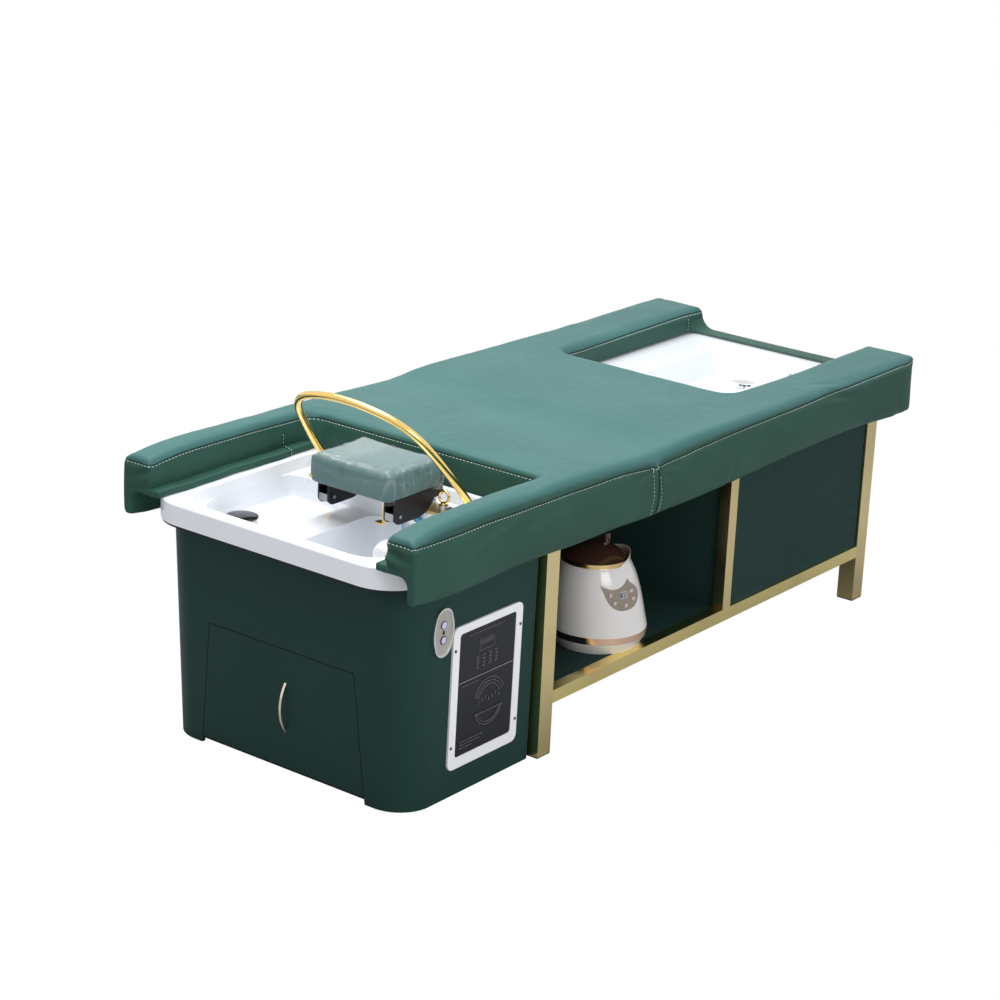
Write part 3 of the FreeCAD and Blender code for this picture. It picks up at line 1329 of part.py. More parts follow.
def make_shower():
    centre = V(shower_x, shower_y, shower_z)
    tilt = math.radians(shower_face_tilt)
    face = V(-math.sin(tilt), 0, math.cos(tilt))
    drop = math.radians(shower_handle_drop)
    along = V(math.cos(drop), 0, -math.sin(drop))
    back = centre - face * shower_head_depth
    head = Part.makeCone(shower_neck_radius, shower_face_radius, shower_head_depth, back, face)
    grip_start = back + face * (shower_head_depth * HALF)
    grip = cylinder(shower_handle_radius, grip_start, along, shower_handle_length)
    neck = Part.makeSphere(shower_neck_radius, grip_start)
    recess = cylinder(shower_face_radius - shower_face_inset, centre - face * shower_face_inset, face,
                      shower_face_inset * 2)
    body = fuse(head, grip, neck).cut(recess)
    plate = cylinder(shower_face_radius - shower_face_inset, centre - face * shower_face_inset, face,
                     shower_face_inset + shower_face_proud)
    save("hand_shower", body, plate)
    hold = grip_start + along * (shower_handle_length * cradle_place_share)
    bore_radius = shower_handle_radius + cradle_gap
    outer = bore_radius + cradle_wall
    start = hold - along * (cradle_length * HALF)
    ring = cylinder(outer, start, along, cradle_length)
    lowest = hold.z - outer - cradle_length * HALF
    foot = box(hold.x - cradle_length * HALF, hold.x + cradle_length * HALF, -basin_mouth_half_width,
               shower_y, lowest, lowest + cradle_foot_height)
    lead = along * overrun
    bore = cylinder(bore_radius, start - lead * 2, along, cradle_length + 4 * overrun)
    slot = box(hold.x - 2 * cradle_length, hold.x + 2 * cradle_length, shower_y - bore_radius,
               shower_y + bore_radius, hold.z, rim_top + overrun)
    return fuse(ring, foot).cut(bore).cut(slot.fuse(bore))


# Panel and switches
def panel_screw_places():
    low = panel_base + panel_screw_low
    high = panel_base + panel_screw_high
    left = panel_left + panel_screw_inset
    right = panel_left + panel_width - panel_screw_inset
    return ((left, low), (left, high), (right, low), (right, high))


def wall_plate(x0, x1, z0, z1, corner, thickness):
    """A rounded plate that stands proud of the wall y = 0."""
    plate = rounded_plate(x0, x1, z0, z1, corner, corner, 0, thickness)
    return turned(plate, V(0, 0, 0), AXIS_X, 90)


def make_panel():
    right = panel_left + panel_width
    high = panel_base + panel_height
    frame = wall_plate(panel_left, right, panel_base, high, panel_corner, panel_thickness)
    inner = (panel_left + panel_border_side, right - panel_border_side, panel_base + panel_border_base,
             high - panel_border_top)
    window = wall_plate(*inner, plate_corner, panel_thickness + overrun)
    frame = frame.cut(window)
    screws = []
    for x, z in panel_screw_places():
        bore = cylinder(panel_screw_shank + panel_screw_clear, V(x, -panel_thickness - overrun, z), AXIS_Y,
                        panel_thickness + 2 * overrun)
        frame = frame.cut(bore)
        head = cylinder(panel_screw_radius, V(x, -panel_thickness - panel_screw_head, z), AXIS_Y,
                        panel_screw_head)
        shank = cylinder(panel_screw_shank, V(x, -panel_thickness, z), AXIS_Y, panel_screw_length)
        screws.append(on_side(fuse(head, shank)))
    save("instruction_frame", on_side(frame))
    save("instruction_plate", on_side(wall_plate(*inner, plate_corner, plate_thickness)))
    save("panel_screws", *screws)


def oval_plate(half_x, half_z, thickness):
    """An oval of four tangent arcs, drawn as two end arcs and two side arcs."""
    ratio = half_x * switch_shoulder_share
    side = V(switch_x + half_x, 0, switch_z)
    top = V(switch_x, 0, switch_z + half_z)
    other = V(switch_x - half_x, 0, switch_z)
    bottom = V(switch_x, 0, switch_z - half_z)
    swell = math.sqrt(1 - (ratio / half_x) ** 2)
    knots = []
    for sx, sz in ((1, 1), (-1, 1), (-1, -1), (1, -1)):
        knots.append(V(switch_x + sx * ratio, 0, switch_z + sz * half_z * swell))
    edges = [Part.Arc(knots[0], top, knots[1]).toShape(), Part.Arc(knots[1], other, knots[2]).toShape(),
             Part.Arc(knots[2], bottom, knots[3]).toShape(), Part.Arc(knots[3], side, knots[0]).toShape()]
    return Part.Face(Part.Wire(edges)).extrude(V(0, -thickness, 0))


def make_switch():
    rim = switch_bezel_rim
    bezel = oval_plate(switch_half_width, switch_half_height, switch_bezel_height)
    core = oval_plate(switch_half_width - rim, switch_half_height - rim, switch_bezel_height + overrun)
    casing = casing_block(0, 0, casing_top)
    bezel_solid = on_side(bezel.cut(core)).cut(casing)
    save("switch_bezel", bezel_solid)
    face = oval_plate(switch_half_width - rim, switch_half_height - rim, switch_plate_height)
    body = wall_plate(switch_x - switch_body_half_width, switch_x + switch_body_half_width,
                      switch_z - switch_body_half_height, switch_z + switch_body_half_height,
                      overrun, switch_body_depth)
    body.translate(V(0, switch_body_depth, 0))
    plate = fuse(face, body)
    for name, dz in (("switch_button_upper", button_offset), ("switch_button_lower", -button_offset)):
        z = switch_z + dz
        back = -switch_plate_height + button_depth
        start = V(switch_x, back + button_travel, z)
        plate = plate.cut(cylinder(button_radius + button_fit, start, -AXIS_Y,
                                   button_depth + button_travel + overrun))
        cap = cylinder(button_radius, V(switch_x, back, z), -AXIS_Y, button_depth + button_proud)
        save(name, on_side(cap))
    save("switch_plate", on_side(plate))


# Foot basin
def make_foot_basin():
    w = foot_basin_wall
    x0, x1, y1 = foot_basin_start, foot_basin_end, foot_basin_half_width
    block = rounded_plate(x0, x1, -y1, y1, foot_basin_corner, foot_basin_corner, deck_top, foot_basin_top)
    hollow = rounded_plate(x0 + w, x1 - w, -y1 + w, y1 - w, foot_basin_corner - w, foot_basin_corner - w,
                           deck_top - overrun, foot_basin_top - w)
    plan = (foot_bowl_start, foot_bowl_end, -foot_bowl_half_width, foot_bowl_half_width)
    outer = pocket(w, plan, foot_bowl_corner, foot_bowl_corner, foot_basin_top, foot_bowl_floor - w,
                   foot_bowl_draft)
    inner = pocket(0, plan, foot_bowl_corner, foot_bowl_corner, foot_basin_top, foot_bowl_floor,
                   foot_bowl_draft, 0, foot_bowl_floor_round)
    basin = fuse(block.cut(hollow), outer).cut(inner)
    basin = round_lip(basin, foot_bowl_start, foot_bowl_end, foot_bowl_half_width, foot_basin_top,
                      foot_bowl_lip_round)
    basin = basin.cut(cylinder(waste_tail_radius, V(foot_waste_x, 0, 0), AXIS_Z, foot_basin_top))
    tap_hole = cylinder(foot_tap_stem_radius + foot_tap_fit, V(foot_tap_x, foot_tap_y, 0), AXIS_Z,
                        foot_basin_top + overrun)
    save("foot_basin", basin.cut(tap_hole))
    top = V(foot_tap_x, foot_tap_y, foot_basin_top)
    collar = cylinder(foot_tap_collar_radius, top, AXIS_Z, foot_tap_collar)
    stem = cylinder(foot_tap_stem_radius, top - AXIS_Z * foot_tap_depth, AXIS_Z,
                    foot_tap_depth + foot_tap_height)
    bar_start = top + AXIS_Z * foot_tap_height - AXIS_Y * (foot_tap_bar_length * HALF)
    bar = cylinder(foot_tap_bar_radius, bar_start, AXIS_Y, foot_tap_bar_length)
    under = foot_basin_wall + foot_tap_play + foot_tap_collar
    nut = cylinder(foot_tap_nut_radius, top - AXIS_Z * under, AXIS_Z, foot_tap_collar)
    save("foot_tap", fuse(collar, stem, bar, nut))


# Steamer
def heading(azimuth):
    angle = math.radians(azimuth)
    return V(math.cos(angle), math.sin(angle), 0)


def steamer_centre(share):
    """Centre of the body at a share of its height."""
    start = shelf_top + steamer_base_height + steamer_band_height
    base = V(steamer_x, steamer_y, start + share * steamer_body_height)
    return base + heading(steamer_lean_azimuth) * (steamer_lean * share)


def steamer_body_solid(grow):
    wires = []
    for height, narrow in steamer_profile_shares:
        radius = steamer_waist_radius + grow + (steamer_neck_radius - steamer_waist_radius) * narrow
        wires.append(Part.Wire(Part.makeCircle(radius, steamer_centre(height), AXIS_Z)))
    return Part.makeLoft(wires, True, False)


def steamer_crest(neck):
    """The upstanding lip beside the lid: a ring cut by a slanting plane."""
    ring = tube(steamer_neck_radius, steamer_ring_radius + steamer_lid_gap, neck, AXIS_Z,
                steamer_crest_height)
    slope = steamer_crest_height / (steamer_neck_radius * HALF)
    reach = 2 * steamer_waist_radius
    above = box(-reach, reach, -reach, reach, 0, reach)
    above.rotate(V(0, 0, 0), AXIS_Y, -math.degrees(math.atan(slope)))
    above.translate(AXIS_X * (steamer_neck_radius * HALF))
    above.rotate(V(0, 0, 0), AXIS_Z, steamer_crest_azimuth)
    above.translate(neck)
    return ring.cut(above)


def make_steamer():
    base_point = V(steamer_x, steamer_y, shelf_top)
    base = Part.makeCone(steamer_base_radius, steamer_waist_radius, steamer_base_height, base_point, AXIS_Z)
    save("steamer_base", base)
    band_base = base_point + AXIS_Z * steamer_base_height
    band = cylinder(steamer_waist_radius + steamer_band_proud, band_base, AXIS_Z, steamer_band_height)
    neck = steamer_centre(1)
    ring = tube(steamer_ring_radius, steamer_lid_radius - steamer_lid_wall, neck, AXIS_Z, steamer_ring_height)
    lid_seat = neck + AXIS_Z * (steamer_ring_height - steamer_lid_wall)
    ring = ring.cut(cylinder(steamer_lid_radius + steamer_lid_gap, lid_seat, AXIS_Z, steamer_ring_height))
    save("steamer_trim", band, ring)
    floor_point = steamer_centre(0)
    floor = cylinder(steamer_waist_radius, floor_point, AXIS_Z, steamer_floor)
    cavity = steamer_body_solid(-steamer_wall).cut(floor)
    body = fuse(steamer_body_solid(0).cut(cavity), steamer_crest(neck))
    out = heading(steamer_panel_azimuth)
    across = heading(steamer_panel_azimuth + 90)
    share = (steamer_panel_height - floor_point.z) / steamer_body_height
    axis_point = steamer_centre(share)
    reach = steamer_waist_radius + overrun
    edges = []
    for outline in (steamer_panel_bite, steamer_panel_round):
        curve = Part.BSplineCurve()
        curve.interpolate([axis_point + across * side + AXIS_Z * rise for side, rise in outline])
        edges.append(curve.toShape())
    outer = steamer_body_solid(steamer_panel_thickness)
    skin = outer.cut(steamer_body_solid(0))
    panel = skin.common(Part.Face(Part.Wire(edges)).extrude(out * reach))
    display_box = Part.makeBox(reach, steamer_display_width, steamer_display_height)
    display_box.translate(V(0, steamer_display_across - steamer_display_width * HALF,
                            steamer_display_rise - steamer_display_height * HALF))
    display_box.rotate(V(0, 0, 0), AXIS_Z, steamer_panel_azimuth)
    display_box.translate(axis_point)
    display = skin.common(display_box)
    panel = panel.cut(display_box)
    for i, (side, rise) in enumerate(steamer_button_places):
        spot = axis_point + across * side + AXIS_Z * rise
        sight = Part.makeLine(spot, spot + out * reach).common(outer)
        depth = max((end.Point - spot).dot(out) for end in sight.Vertexes)
        start = spot + out * (depth - steamer_button_depth)
        cap = cylinder(steamer_button_radius, start, out, steamer_button_depth + steamer_button_proud)
        bore = cylinder(steamer_button_radius + steamer_button_fit, start - out * steamer_button_proud, out,
                        steamer_button_depth + 2 * steamer_button_proud + overrun)
        panel = panel.cut(bore)
        body = body.cut(bore)
        save("steamer_button_%d" % (i + 1), cap)
    save("steamer_body", body)
    save("steamer_panel", max(panel.Solids, key=lambda s: s.Volume), display)
    dome = domed_disc(steamer_lid_radius, steamer_lid_wall, steamer_lid_height, lid_seat, AXIS_Z)
    top = lid_seat + AXIS_Z * steamer_lid_wall
    spout = cylinder(steamer_spout_radius, top + AXIS_X * steamer_spout_offset, AXIS_Z,
                     steamer_lid_height + steamer_spout_height)
    save("steamer_lid", fuse(dome, spout))


os.makedirs("parts", exist_ok=True)
save("mattress", make_mattress())
make_frame()
make_cabinet()
make_casing()
make_door()
basin_solid = make_basin()
make_wastes()
make_strainer(basin_solid)
make_plumbing()
make_bridge()
make_neck_rest()
make_arch()
make_valve()
cradle = make_shower().cut(basin_solid)
save("shower_holder", max(cradle.Solids, key=lambda s: s.Volume))
make_panel()
make_switch()
make_foot_basin()
make_steamer()
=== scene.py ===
# %% [markdown]
# # A hair washing bed, piece by piece
# The bed is a padded top on a gold frame, with a basin at each end. The metal, the basins and the
# boards arrive as finished solids. This notebook gives them their surfaces, and makes the soft
# pieces, the stitches and the small marks that the solids don't have.

# %% Load the frame
import bpy
import bmesh
import math
import numpy as np
from mathutils import Matrix, Vector, noise
from mathutils.bvhtree import BVHTree


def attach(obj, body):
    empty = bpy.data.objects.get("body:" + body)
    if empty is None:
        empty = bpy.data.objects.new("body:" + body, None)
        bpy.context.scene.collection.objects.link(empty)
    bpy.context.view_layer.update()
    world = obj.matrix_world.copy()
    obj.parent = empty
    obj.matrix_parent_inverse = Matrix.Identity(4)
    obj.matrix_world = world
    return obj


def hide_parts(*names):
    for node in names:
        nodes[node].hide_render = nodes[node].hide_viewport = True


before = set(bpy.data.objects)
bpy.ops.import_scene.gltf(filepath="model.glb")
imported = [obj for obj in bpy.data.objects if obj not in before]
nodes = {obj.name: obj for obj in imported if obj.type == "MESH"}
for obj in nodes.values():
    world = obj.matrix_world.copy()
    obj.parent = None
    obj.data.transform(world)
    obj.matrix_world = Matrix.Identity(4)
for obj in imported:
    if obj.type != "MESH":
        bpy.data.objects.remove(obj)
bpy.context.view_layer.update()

# %% [markdown]
# The camera comes first, because every later choice is judged through it. It stands beyond the head
# end on the near side and looks down at the bed with a long lens, as a product picture is taken. Its
# place, its turn and its lens were worked out from the straight edges of the frame.

# %% Camera
IMAGE_SIZE = 1000
SENSOR_WIDTH = 36
FAR_END = 60
camera_place = Vector((-5.13836, -3.73805, 2.59052))
camera_yaw = math.radians(-52.87285)
camera_pitch = math.radians(-18.86162)
camera_roll = math.radians(2.59692)
focal_pixels = 2708.68
picture_centre = (501.42, 494.64)


def placed(name, data):
    """A new object in the scene."""
    item = bpy.data.objects.new(name, data)
    bpy.context.scene.collection.objects.link(item)
    return item


def camera_matrix():
    """World matrix of a camera with a heading, a pitch and a roll."""
    forward = Vector((-math.sin(camera_yaw) * math.cos(camera_pitch),
                      math.cos(camera_yaw) * math.cos(camera_pitch), math.sin(camera_pitch)))
    level = Vector((math.cos(camera_yaw), math.sin(camera_yaw), 0))
    upright = level.cross(forward)
    right = level * math.cos(camera_roll) + upright * math.sin(camera_roll)
    up = upright * math.cos(camera_roll) - level * math.sin(camera_roll)
    turn = Matrix((right, up, -forward)).transposed().to_4x4()
    return Matrix.Translation(camera_place) @ turn


camera_data = bpy.data.cameras.new("Camera")
camera_data.sensor_width = SENSOR_WIDTH
camera_data.lens = focal_pixels / IMAGE_SIZE * SENSOR_WIDTH
camera_data.shift_x = -(picture_centre[0] - IMAGE_SIZE / 2) / IMAGE_SIZE
camera_data.shift_y = (picture_centre[1] - IMAGE_SIZE / 2) / IMAGE_SIZE
camera_data.clip_end = FAR_END
camera = placed("Camera", camera_data)
camera.matrix_world = camera_matrix()
bpy.context.scene.camera = camera
print("lens", round(camera_data.lens, 1), "mm")

# %% [markdown]
# A finish is a small graph of nodes. Written node by node, a graph is hard to read, so a socket is
# wrapped here in a class that understands Python's arithmetic: `1 - mask * 0.4` adds its Math nodes
# by itself. Everything else goes through one function that takes a node's type, its settings and what
# its sockets hold.

# %% A socket that understands arithmetic
class Wave:
    """A number that varies over a surface: one output socket of a material's graph."""

    def __init__(self, tree, socket):
        self.tree = tree
        self.socket = socket

    def maths(self, operation, *values):
        node = self.tree.nodes.new("ShaderNodeMath")
        node.operation = operation
        for place, value in enumerate(values):
            connect(self.tree, value, node.inputs[place])
        return Wave(self.tree, node.outputs[0])

    def __add__(self, other):
        return self.maths("ADD", self, other)

    def __sub__(self, other):
        return self.maths("SUBTRACT", self, other)

    def __rsub__(self, other):
        return self.maths("SUBTRACT", other, self)

    def __mul__(self, other):
        return self.maths("MULTIPLY", self, other)

    def __gt__(self, other):
        return self.maths("GREATER_THAN", self, other)

    def __lt__(self, other):
        return self.maths("LESS_THAN", self, other)

    __radd__ = __add__
    __rmul__ = __mul__

    def smooth(self, low, high):
        """0 below low, 1 above high, and an even curve between."""
        node = new_node(self.tree, "ShaderNodeMapRange", {"interpolation_type": "SMOOTHSTEP"},
                        Value=self, From_Min=low, From_Max=high)
        return Wave(self.tree, node.outputs["Result"])


def connect(tree, value, socket):
    """Link a wave or another socket to a socket, or set it to a plain value."""
    value = value.socket if isinstance(value, Wave) else value
    if isinstance(value, bpy.types.NodeSocket):
        tree.links.new(value, socket)
    elif value is not None:
        socket.default_value = value


def new_node(tree, kind, settings=None, **inputs):
    """Add any node: its settings come first, then its sockets, by name or as i and a number."""
    node = tree.nodes.new(kind)
    for key, value in (settings or {}).items():
        setattr(node, key, value)
    for key, value in inputs.items():
        place = int(key[1:]) if key[1:].isdigit() else key.replace("_", " ")
        connect(tree, value, node.inputs[place])
    return node


# %% [markdown]
# A finish starts from one Principled shader. What is the same all over is set on the shader's own
# sockets, and only what varies is linked, because that is what an exported model can keep. Patterns
# read Object coordinates, which are metres here, so a grain 1 mm across has a scale near 1000.

# %% A finish
class Finish:
    """A material with one Principled shader, and short names for the nodes that it uses."""

    def __init__(self, name, colour, roughness, **constants):
        self.material = bpy.data.materials.new(name)
        self.material.use_nodes = True
        self.tree = self.material.node_tree
        self.shader = self.tree.nodes["Principled BSDF"]
        self.feed("Base Color", (*colour, 1) if isinstance(colour, tuple) else colour)
        self.feed("Roughness", roughness)
        for key, value in constants.items():
            self.feed(key.replace("_", " ").title(), value)
        self.material.diffuse_color = (0.5, 0.5, 0.5, 1)

    def feed(self, socket, value):
        connect(self.tree, value, self.shader.inputs[socket.replace("Ior", "IOR")])

    def node(self, kind, settings=None, output=0, **inputs):
        return Wave(self.tree, new_node(self.tree, kind, settings, **inputs).outputs[output])

    def spot(self):
        return self.node("ShaderNodeTexCoord", output="Object")

    def place(self, scale=(1, 1, 1)):
        """Object coordinates, stretched."""
        return self.node("ShaderNodeMapping", Vector=self.spot(), Scale=scale)

    def axis(self, which):
        return self.node("ShaderNodeSeparateXYZ", output=which, Vector=self.spot())

    def noise(self, scale, detail=3, roughness=0.55, where=None):
        where = where or self.place()
        return self.node("ShaderNodeTexNoise", Vector=where, Scale=scale, Detail=detail,
                         Roughness=roughness)

    def cells(self, scale):
        return self.node("ShaderNodeTexVoronoi", Vector=self.place(), Scale=scale)

    def blend(self, mask, first, second):
        """Mix two colours by a mask."""
        first, second = ((*end, 1) if isinstance(end, tuple) else end for end in (first, second))
        return self.node("ShaderNodeMix", {"data_type": "RGBA"}, output=2, i0=mask, i6=first, i7=second)

    def bump(self, height, strength, distance):
        """Feed a height into the shader's normal, on top of what is there."""
        before = self.shader.inputs["Normal"].links
        under = Wave(self.tree, before[0].from_socket) if before else None
        normal = self.node("ShaderNodeBump", Height=height, Strength=strength, Distance=distance,
                           Normal=under)
        self.feed("Normal", normal)


# %% [markdown]
# The cover is a soft synthetic leather. Close up it has a pebbled grain under 1 mm, and from a step
# away faint cloudy changes of colour. Cells make the pebbles, and two sizes of noise make the clouds
# and the slight unevenness of the foam beneath. A darker side colour can be given to the side panels:
# that is painted shade, because the sides get less light than the top.

# %% Leather finishes
def shaded(colour, share):
    return tuple(c * share for c in colour)


def leather(name, dark, light, roughness, side=None):
    """The side colour is painted shade: a darker copy of the leather, given to the side panels, where the
    piece's own attribute is 0.
    """
    finish = Finish(name, dark, roughness, specular_ior_level=0.12)
    clouds = finish.noise(3.0, 4).smooth(0.3, 0.72)
    colour = finish.blend(clouds, dark, light)
    # Painted shade: where the attribute is 0, the side panels take the darker side colour.
    if side:
        panel = finish.node("ShaderNodeAttribute", {"attribute_name": "panel"}, output="Fac")
        drift = finish.blend(finish.noise(5.0, 3).smooth(0.3, 0.75), side, shaded(side, 1.18))
        colour = finish.blend(panel, drift, colour)
    finish.feed("Base Color", colour)
    pebbles = finish.cells(900)
    fine = finish.noise(1500, 2)
    finish.feed("Roughness", roughness + (finish.noise(40, 3) - 0.5) * 0.16 + pebbles * 0.05)
    finish.bump(pebbles * 0.7 + fine * 0.3, 0.22, 0.0004)
    finish.bump(finish.noise(14, 3), 0.35, 0.0016)
    return finish.material


# The side colour is painted shade: the same green, darker, for the sides that get less light.
LEATHER = leather("Green_leather", (0.047, 0.130, 0.124), (0.055, 0.149, 0.141), 0.42,
                  side=(0.027, 0.079, 0.060))
PILLOW_LEATHER = leather("Pillow_leather", (0.070, 0.145, 0.140), (0.088, 0.168, 0.165), 0.4)
# A much darker copy of the leather: painted shade for the rolls in the seams' grooves and pleats.
SEAM_SHADE_LEATHER = leather("Seam_painted_shade", (0.010, 0.026, 0.023), (0.014, 0.034, 0.030), 0.6)
print("leathers ready")

# %% [markdown]
# The frame is polished steel with a gold coat. A metal's look is nearly all reflection, so its colour
# stays plain, and the life comes from roughness: faint lengthwise polishing lines, and a few cloudy
# smudges where hands and cloths have been.

# %% Metal finishes
def metal(name, colour, roughness, streak=(1, 1, 1), streak_depth=0.0, smudge=0.06):
    finish = Finish(name, colour, roughness, metallic=1.0)
    smear = finish.noise(9, 4)
    lines = finish.noise(420, 2, where=finish.place(streak))
    dull = shaded(colour, 0.86)
    finish.feed("Base Color", finish.blend(finish.noise(5, 3).smooth(0.35, 0.75), colour, dull))
    finish.feed("Roughness", roughness + (smear - 0.5) * smudge + (lines - 0.5) * smudge)
    if streak_depth:
        finish.bump(lines, streak_depth, 0.0002)
    return finish.material


GOLD = metal("Gold_frame", (0.86, 0.71, 0.365), 0.2, (0.03, 0.03, 1), 0.06)
GOLD_RAIL = metal("Gold_rail", (0.95, 0.79, 0.34), 0.2, (0.02, 1, 1), 0.06)
GOLD_TUBE = metal("Gold_arch", (0.95, 0.66, 0.22), 0.16, smudge=0.05)
GOLD_SATIN = metal("Gold_satin_plate", (0.90, 0.66, 0.26), 0.32, (1, 0.02, 1), 0.12)
CHAMPAGNE = metal("Champagne_handle", (0.78, 0.69, 0.58), 0.26, (1, 1, 0.03), 0.1)
CHROME = metal("Chrome", (0.82, 0.83, 0.85), 0.07, smudge=0.04)
STEEL = metal("Brushed_steel", (0.60, 0.59, 0.57), 0.34, (1, 0.03, 1), 0.15)
SWITCH_FACE = metal("Switch_face", (0.62, 0.60, 0.56), 0.4, (0.02, 1, 1), 0.16)
SCREW_STEEL = metal("Screw_steel", (0.16, 0.17, 0.15), 0.4)
SILVER = metal("Silver_block", (0.45, 0.45, 0.46), 0.3, (1, 1, 0.02), 0.14)
# The head basin's waste cap is chrome; this dark colour is a painted reflection of the dark round it.
CHROME_PAINTED_DARK = metal("Chrome_painted_dark", (0.10, 0.10, 0.11), 0.12, smudge=0.04)
print("metals ready")

# %% [markdown]
# The steamer's band is rose gold on one half and gloss black on the other, and the ring at its top is
# gold all round. One material can do both: a mask compares the place on the band with a plane through
# the steamer's axis, and the height tells the band from the ring.

# %% The steamer's band and ring
STEAMER_AXIS = (-0.141, -0.260)
BAND_TURN = math.radians(294)
RING_FROM = 0.3


def steamer_band():
    finish = Finish("Steamer_band", (0.72, 0.50, 0.38), 0.2, metallic=1.0)
    across = (finish.axis("X") - STEAMER_AXIS[0]) * math.cos(BAND_TURN)
    across = across + (finish.axis("Y") - STEAMER_AXIS[1]) * math.sin(BAND_TURN)
    ring = finish.axis("Z") > RING_FROM
    rose = (across > 0).maths("MAXIMUM", across > 0, ring)
    warm = finish.blend(ring, (0.74, 0.50, 0.37), (0.76, 0.56, 0.27))
    finish.feed("Base Color", finish.blend(rose, (0.012, 0.012, 0.013), warm))
    finish.feed("Metallic", rose)
    finish.feed("Roughness", 0.16 + finish.noise(30, 3) * 0.08)
    return finish.material


ROSE = steamer_band()

# %% [markdown]
# The basins, the casing and the steamer are moulded plastic. A moulding is never quite flat: it
# has a slight ripple, and dust and wiping leave its gloss a little uneven.

# %% Plastic and board finishes
def moulding(name, colour, roughness, ripple=0.12, coat=0.0, tint=0.94, gloss=0.3, glow=0.0):
    """The glow is painted light: a faint even emission that lifts the shaded parts of a thin white shell,
    standing for the light that passes through it.
    """
    finish = Finish(name, colour, roughness, coat_weight=coat, coat_roughness=0.05,
                    specular_ior_level=gloss, emission_strength=glow, emission_color=(1, 1, 1, 1))
    drift = finish.noise(4, 3).smooth(0.3, 0.75)
    finish.feed("Base Color", finish.blend(drift, colour, shaded(colour, tint)))
    finish.feed("Roughness", roughness + (finish.noise(60, 4) - 0.5) * 0.08)
    finish.bump(finish.noise(7, 2), ripple, 0.002)
    finish.bump(finish.noise(900, 2), 0.05, 0.0002)
    return finish.material


def board(name, colour, roughness):
    """Lacquered board: a fine orange-peel surface over faint lengthwise fibres."""
    finish = Finish(name, colour, roughness, specular_ior_level=0.08)
    fibre = finish.noise(90, 3, where=finish.place((0.05, 1, 1)))
    finish.feed("Base Color", finish.blend(fibre.smooth(0.3, 0.8), colour, shaded(colour, 0.86)))
    finish.feed("Roughness", roughness + (finish.noise(30, 3) - 0.5) * 0.12)
    finish.bump(finish.noise(700, 2), 0.1, 0.0003)
    return finish.material


# The acrylic's glow is painted light, which brightens the basins' shaded insides.
ACRYLIC = moulding("White_acrylic", (0.72, 0.75, 0.80), 0.14, 0.05, 0.4, 0.985, glow=0.11)
CASING = moulding("Green_casing", (0.0155, 0.048, 0.0425), 0.45, 0.16, gloss=0.1)
WHITE_SIGN = moulding("White_sign_frame", (0.95, 0.95, 0.98), 0.3, 0.04)
BLACK_GLOSS = moulding("Black_sign_plate", (0.009, 0.011, 0.017), 0.2, 0.03)
STEAMER_WHITE = moulding("Steamer_white", (0.80, 0.78, 0.77), 0.2, 0.05, 0.5, 0.97)
TAUPE = moulding("Taupe_panel", (0.30, 0.255, 0.205), 0.34, 0.05)
KEY_CAP = moulding("Key_cap", (0.72, 0.69, 0.64), 0.4, 0.04)
BLACK_PLASTIC = moulding("Black_plastic", (0.012, 0.012, 0.013), 0.5, 0.1)
GREY_PLASTIC = moulding("Grey_plastic", (0.32, 0.33, 0.34), 0.45, 0.1)
WHITE_PLASTIC = moulding("White_plastic", (0.68, 0.69, 0.70), 0.4, 0.1)
BLACK_RUBBER = moulding("Black_rubber", (0.010, 0.011, 0.012), 0.62, 0.2)
HOSE_RUBBER = moulding("Hose_rubber", (0.016, 0.016, 0.018), 0.5, 0.2)
BLUE_RUBBER = moulding("Blue_rubber", (0.16, 0.50, 0.80), 0.38, 0.2)
BLACK_METAL = moulding("Black_bracket", (0.009, 0.010, 0.013), 0.42, 0.06)
GREEN_BOARD = board("Green_board", (0.018, 0.047, 0.043), 0.55)
print("plastics ready")

# %% [markdown]
# The hand shower is chromed, with a white spray face inside its rim. Both belong to one solid, so a
# mask picks out the face: a disc round the middle of the spray plate, in front of the chrome rim.

# %% Hand shower
SPRAY_MIDDLE = Vector((-0.944, -0.255, 0.590))
SPRAY_TILT = math.radians(49)
SPRAY_WAY = Vector((-math.cos(SPRAY_TILT), 0, math.sin(SPRAY_TILT)))
SPRAY_FACE_RADIUS = 0.0243
CHROME_COLOUR = (0.82, 0.83, 0.85)


def spray_finish():
    finish = Finish("Hand_shower", CHROME_COLOUR, 0.07, metallic=1.0)
    off = finish.node("ShaderNodeVectorMath", {"operation": "DISTANCE"}, output="Value",
                      i0=finish.spot(), i1=tuple(SPRAY_MIDDLE))
    face = (off < SPRAY_FACE_RADIUS) * 1.0
    finish.feed("Base Color", finish.blend(face, CHROME_COLOUR, (0.78, 0.79, 0.80)))
    finish.feed("Metallic", 1 - face)
    finish.feed("Roughness", 0.06 + face * 0.22 + finish.noise(25, 3) * 0.04)
    return finish.material


SPRAY = spray_finish()
print("hand shower ready")

# %% [markdown]
# The steamer's lid is smoked plastic, dark at a glance and clear against the light. The push buttons
# are lit from behind, so they glow a little themselves.

# %% Clear and lit finishes
smoked = Finish("Smoked_lid", (0.10, 0.045, 0.03), 0.08, transmission_weight=0.45, ior=1.46,
                coat_weight=0.6, coat_roughness=0.04)
smoked.feed("Roughness", 0.07 + smoked.noise(30, 3) * 0.05)
SMOKED = smoked.material
lit = Finish("Lit_button", (0.40, 0.38, 0.62), 0.25, emission_strength=0.25)
lit.feed("Emission Color", lit.blend(lit.noise(160, 2), (0.62, 0.60, 0.95), (0.85, 0.82, 1.0)))
LIT = lit.material
print("lid and buttons ready")

# %% [markdown]
# Every solid that keeps its shape gets its finish by name. The soft ones, the top and the neck
# pillow, are left out here, because better-made pieces stand in for them further down.

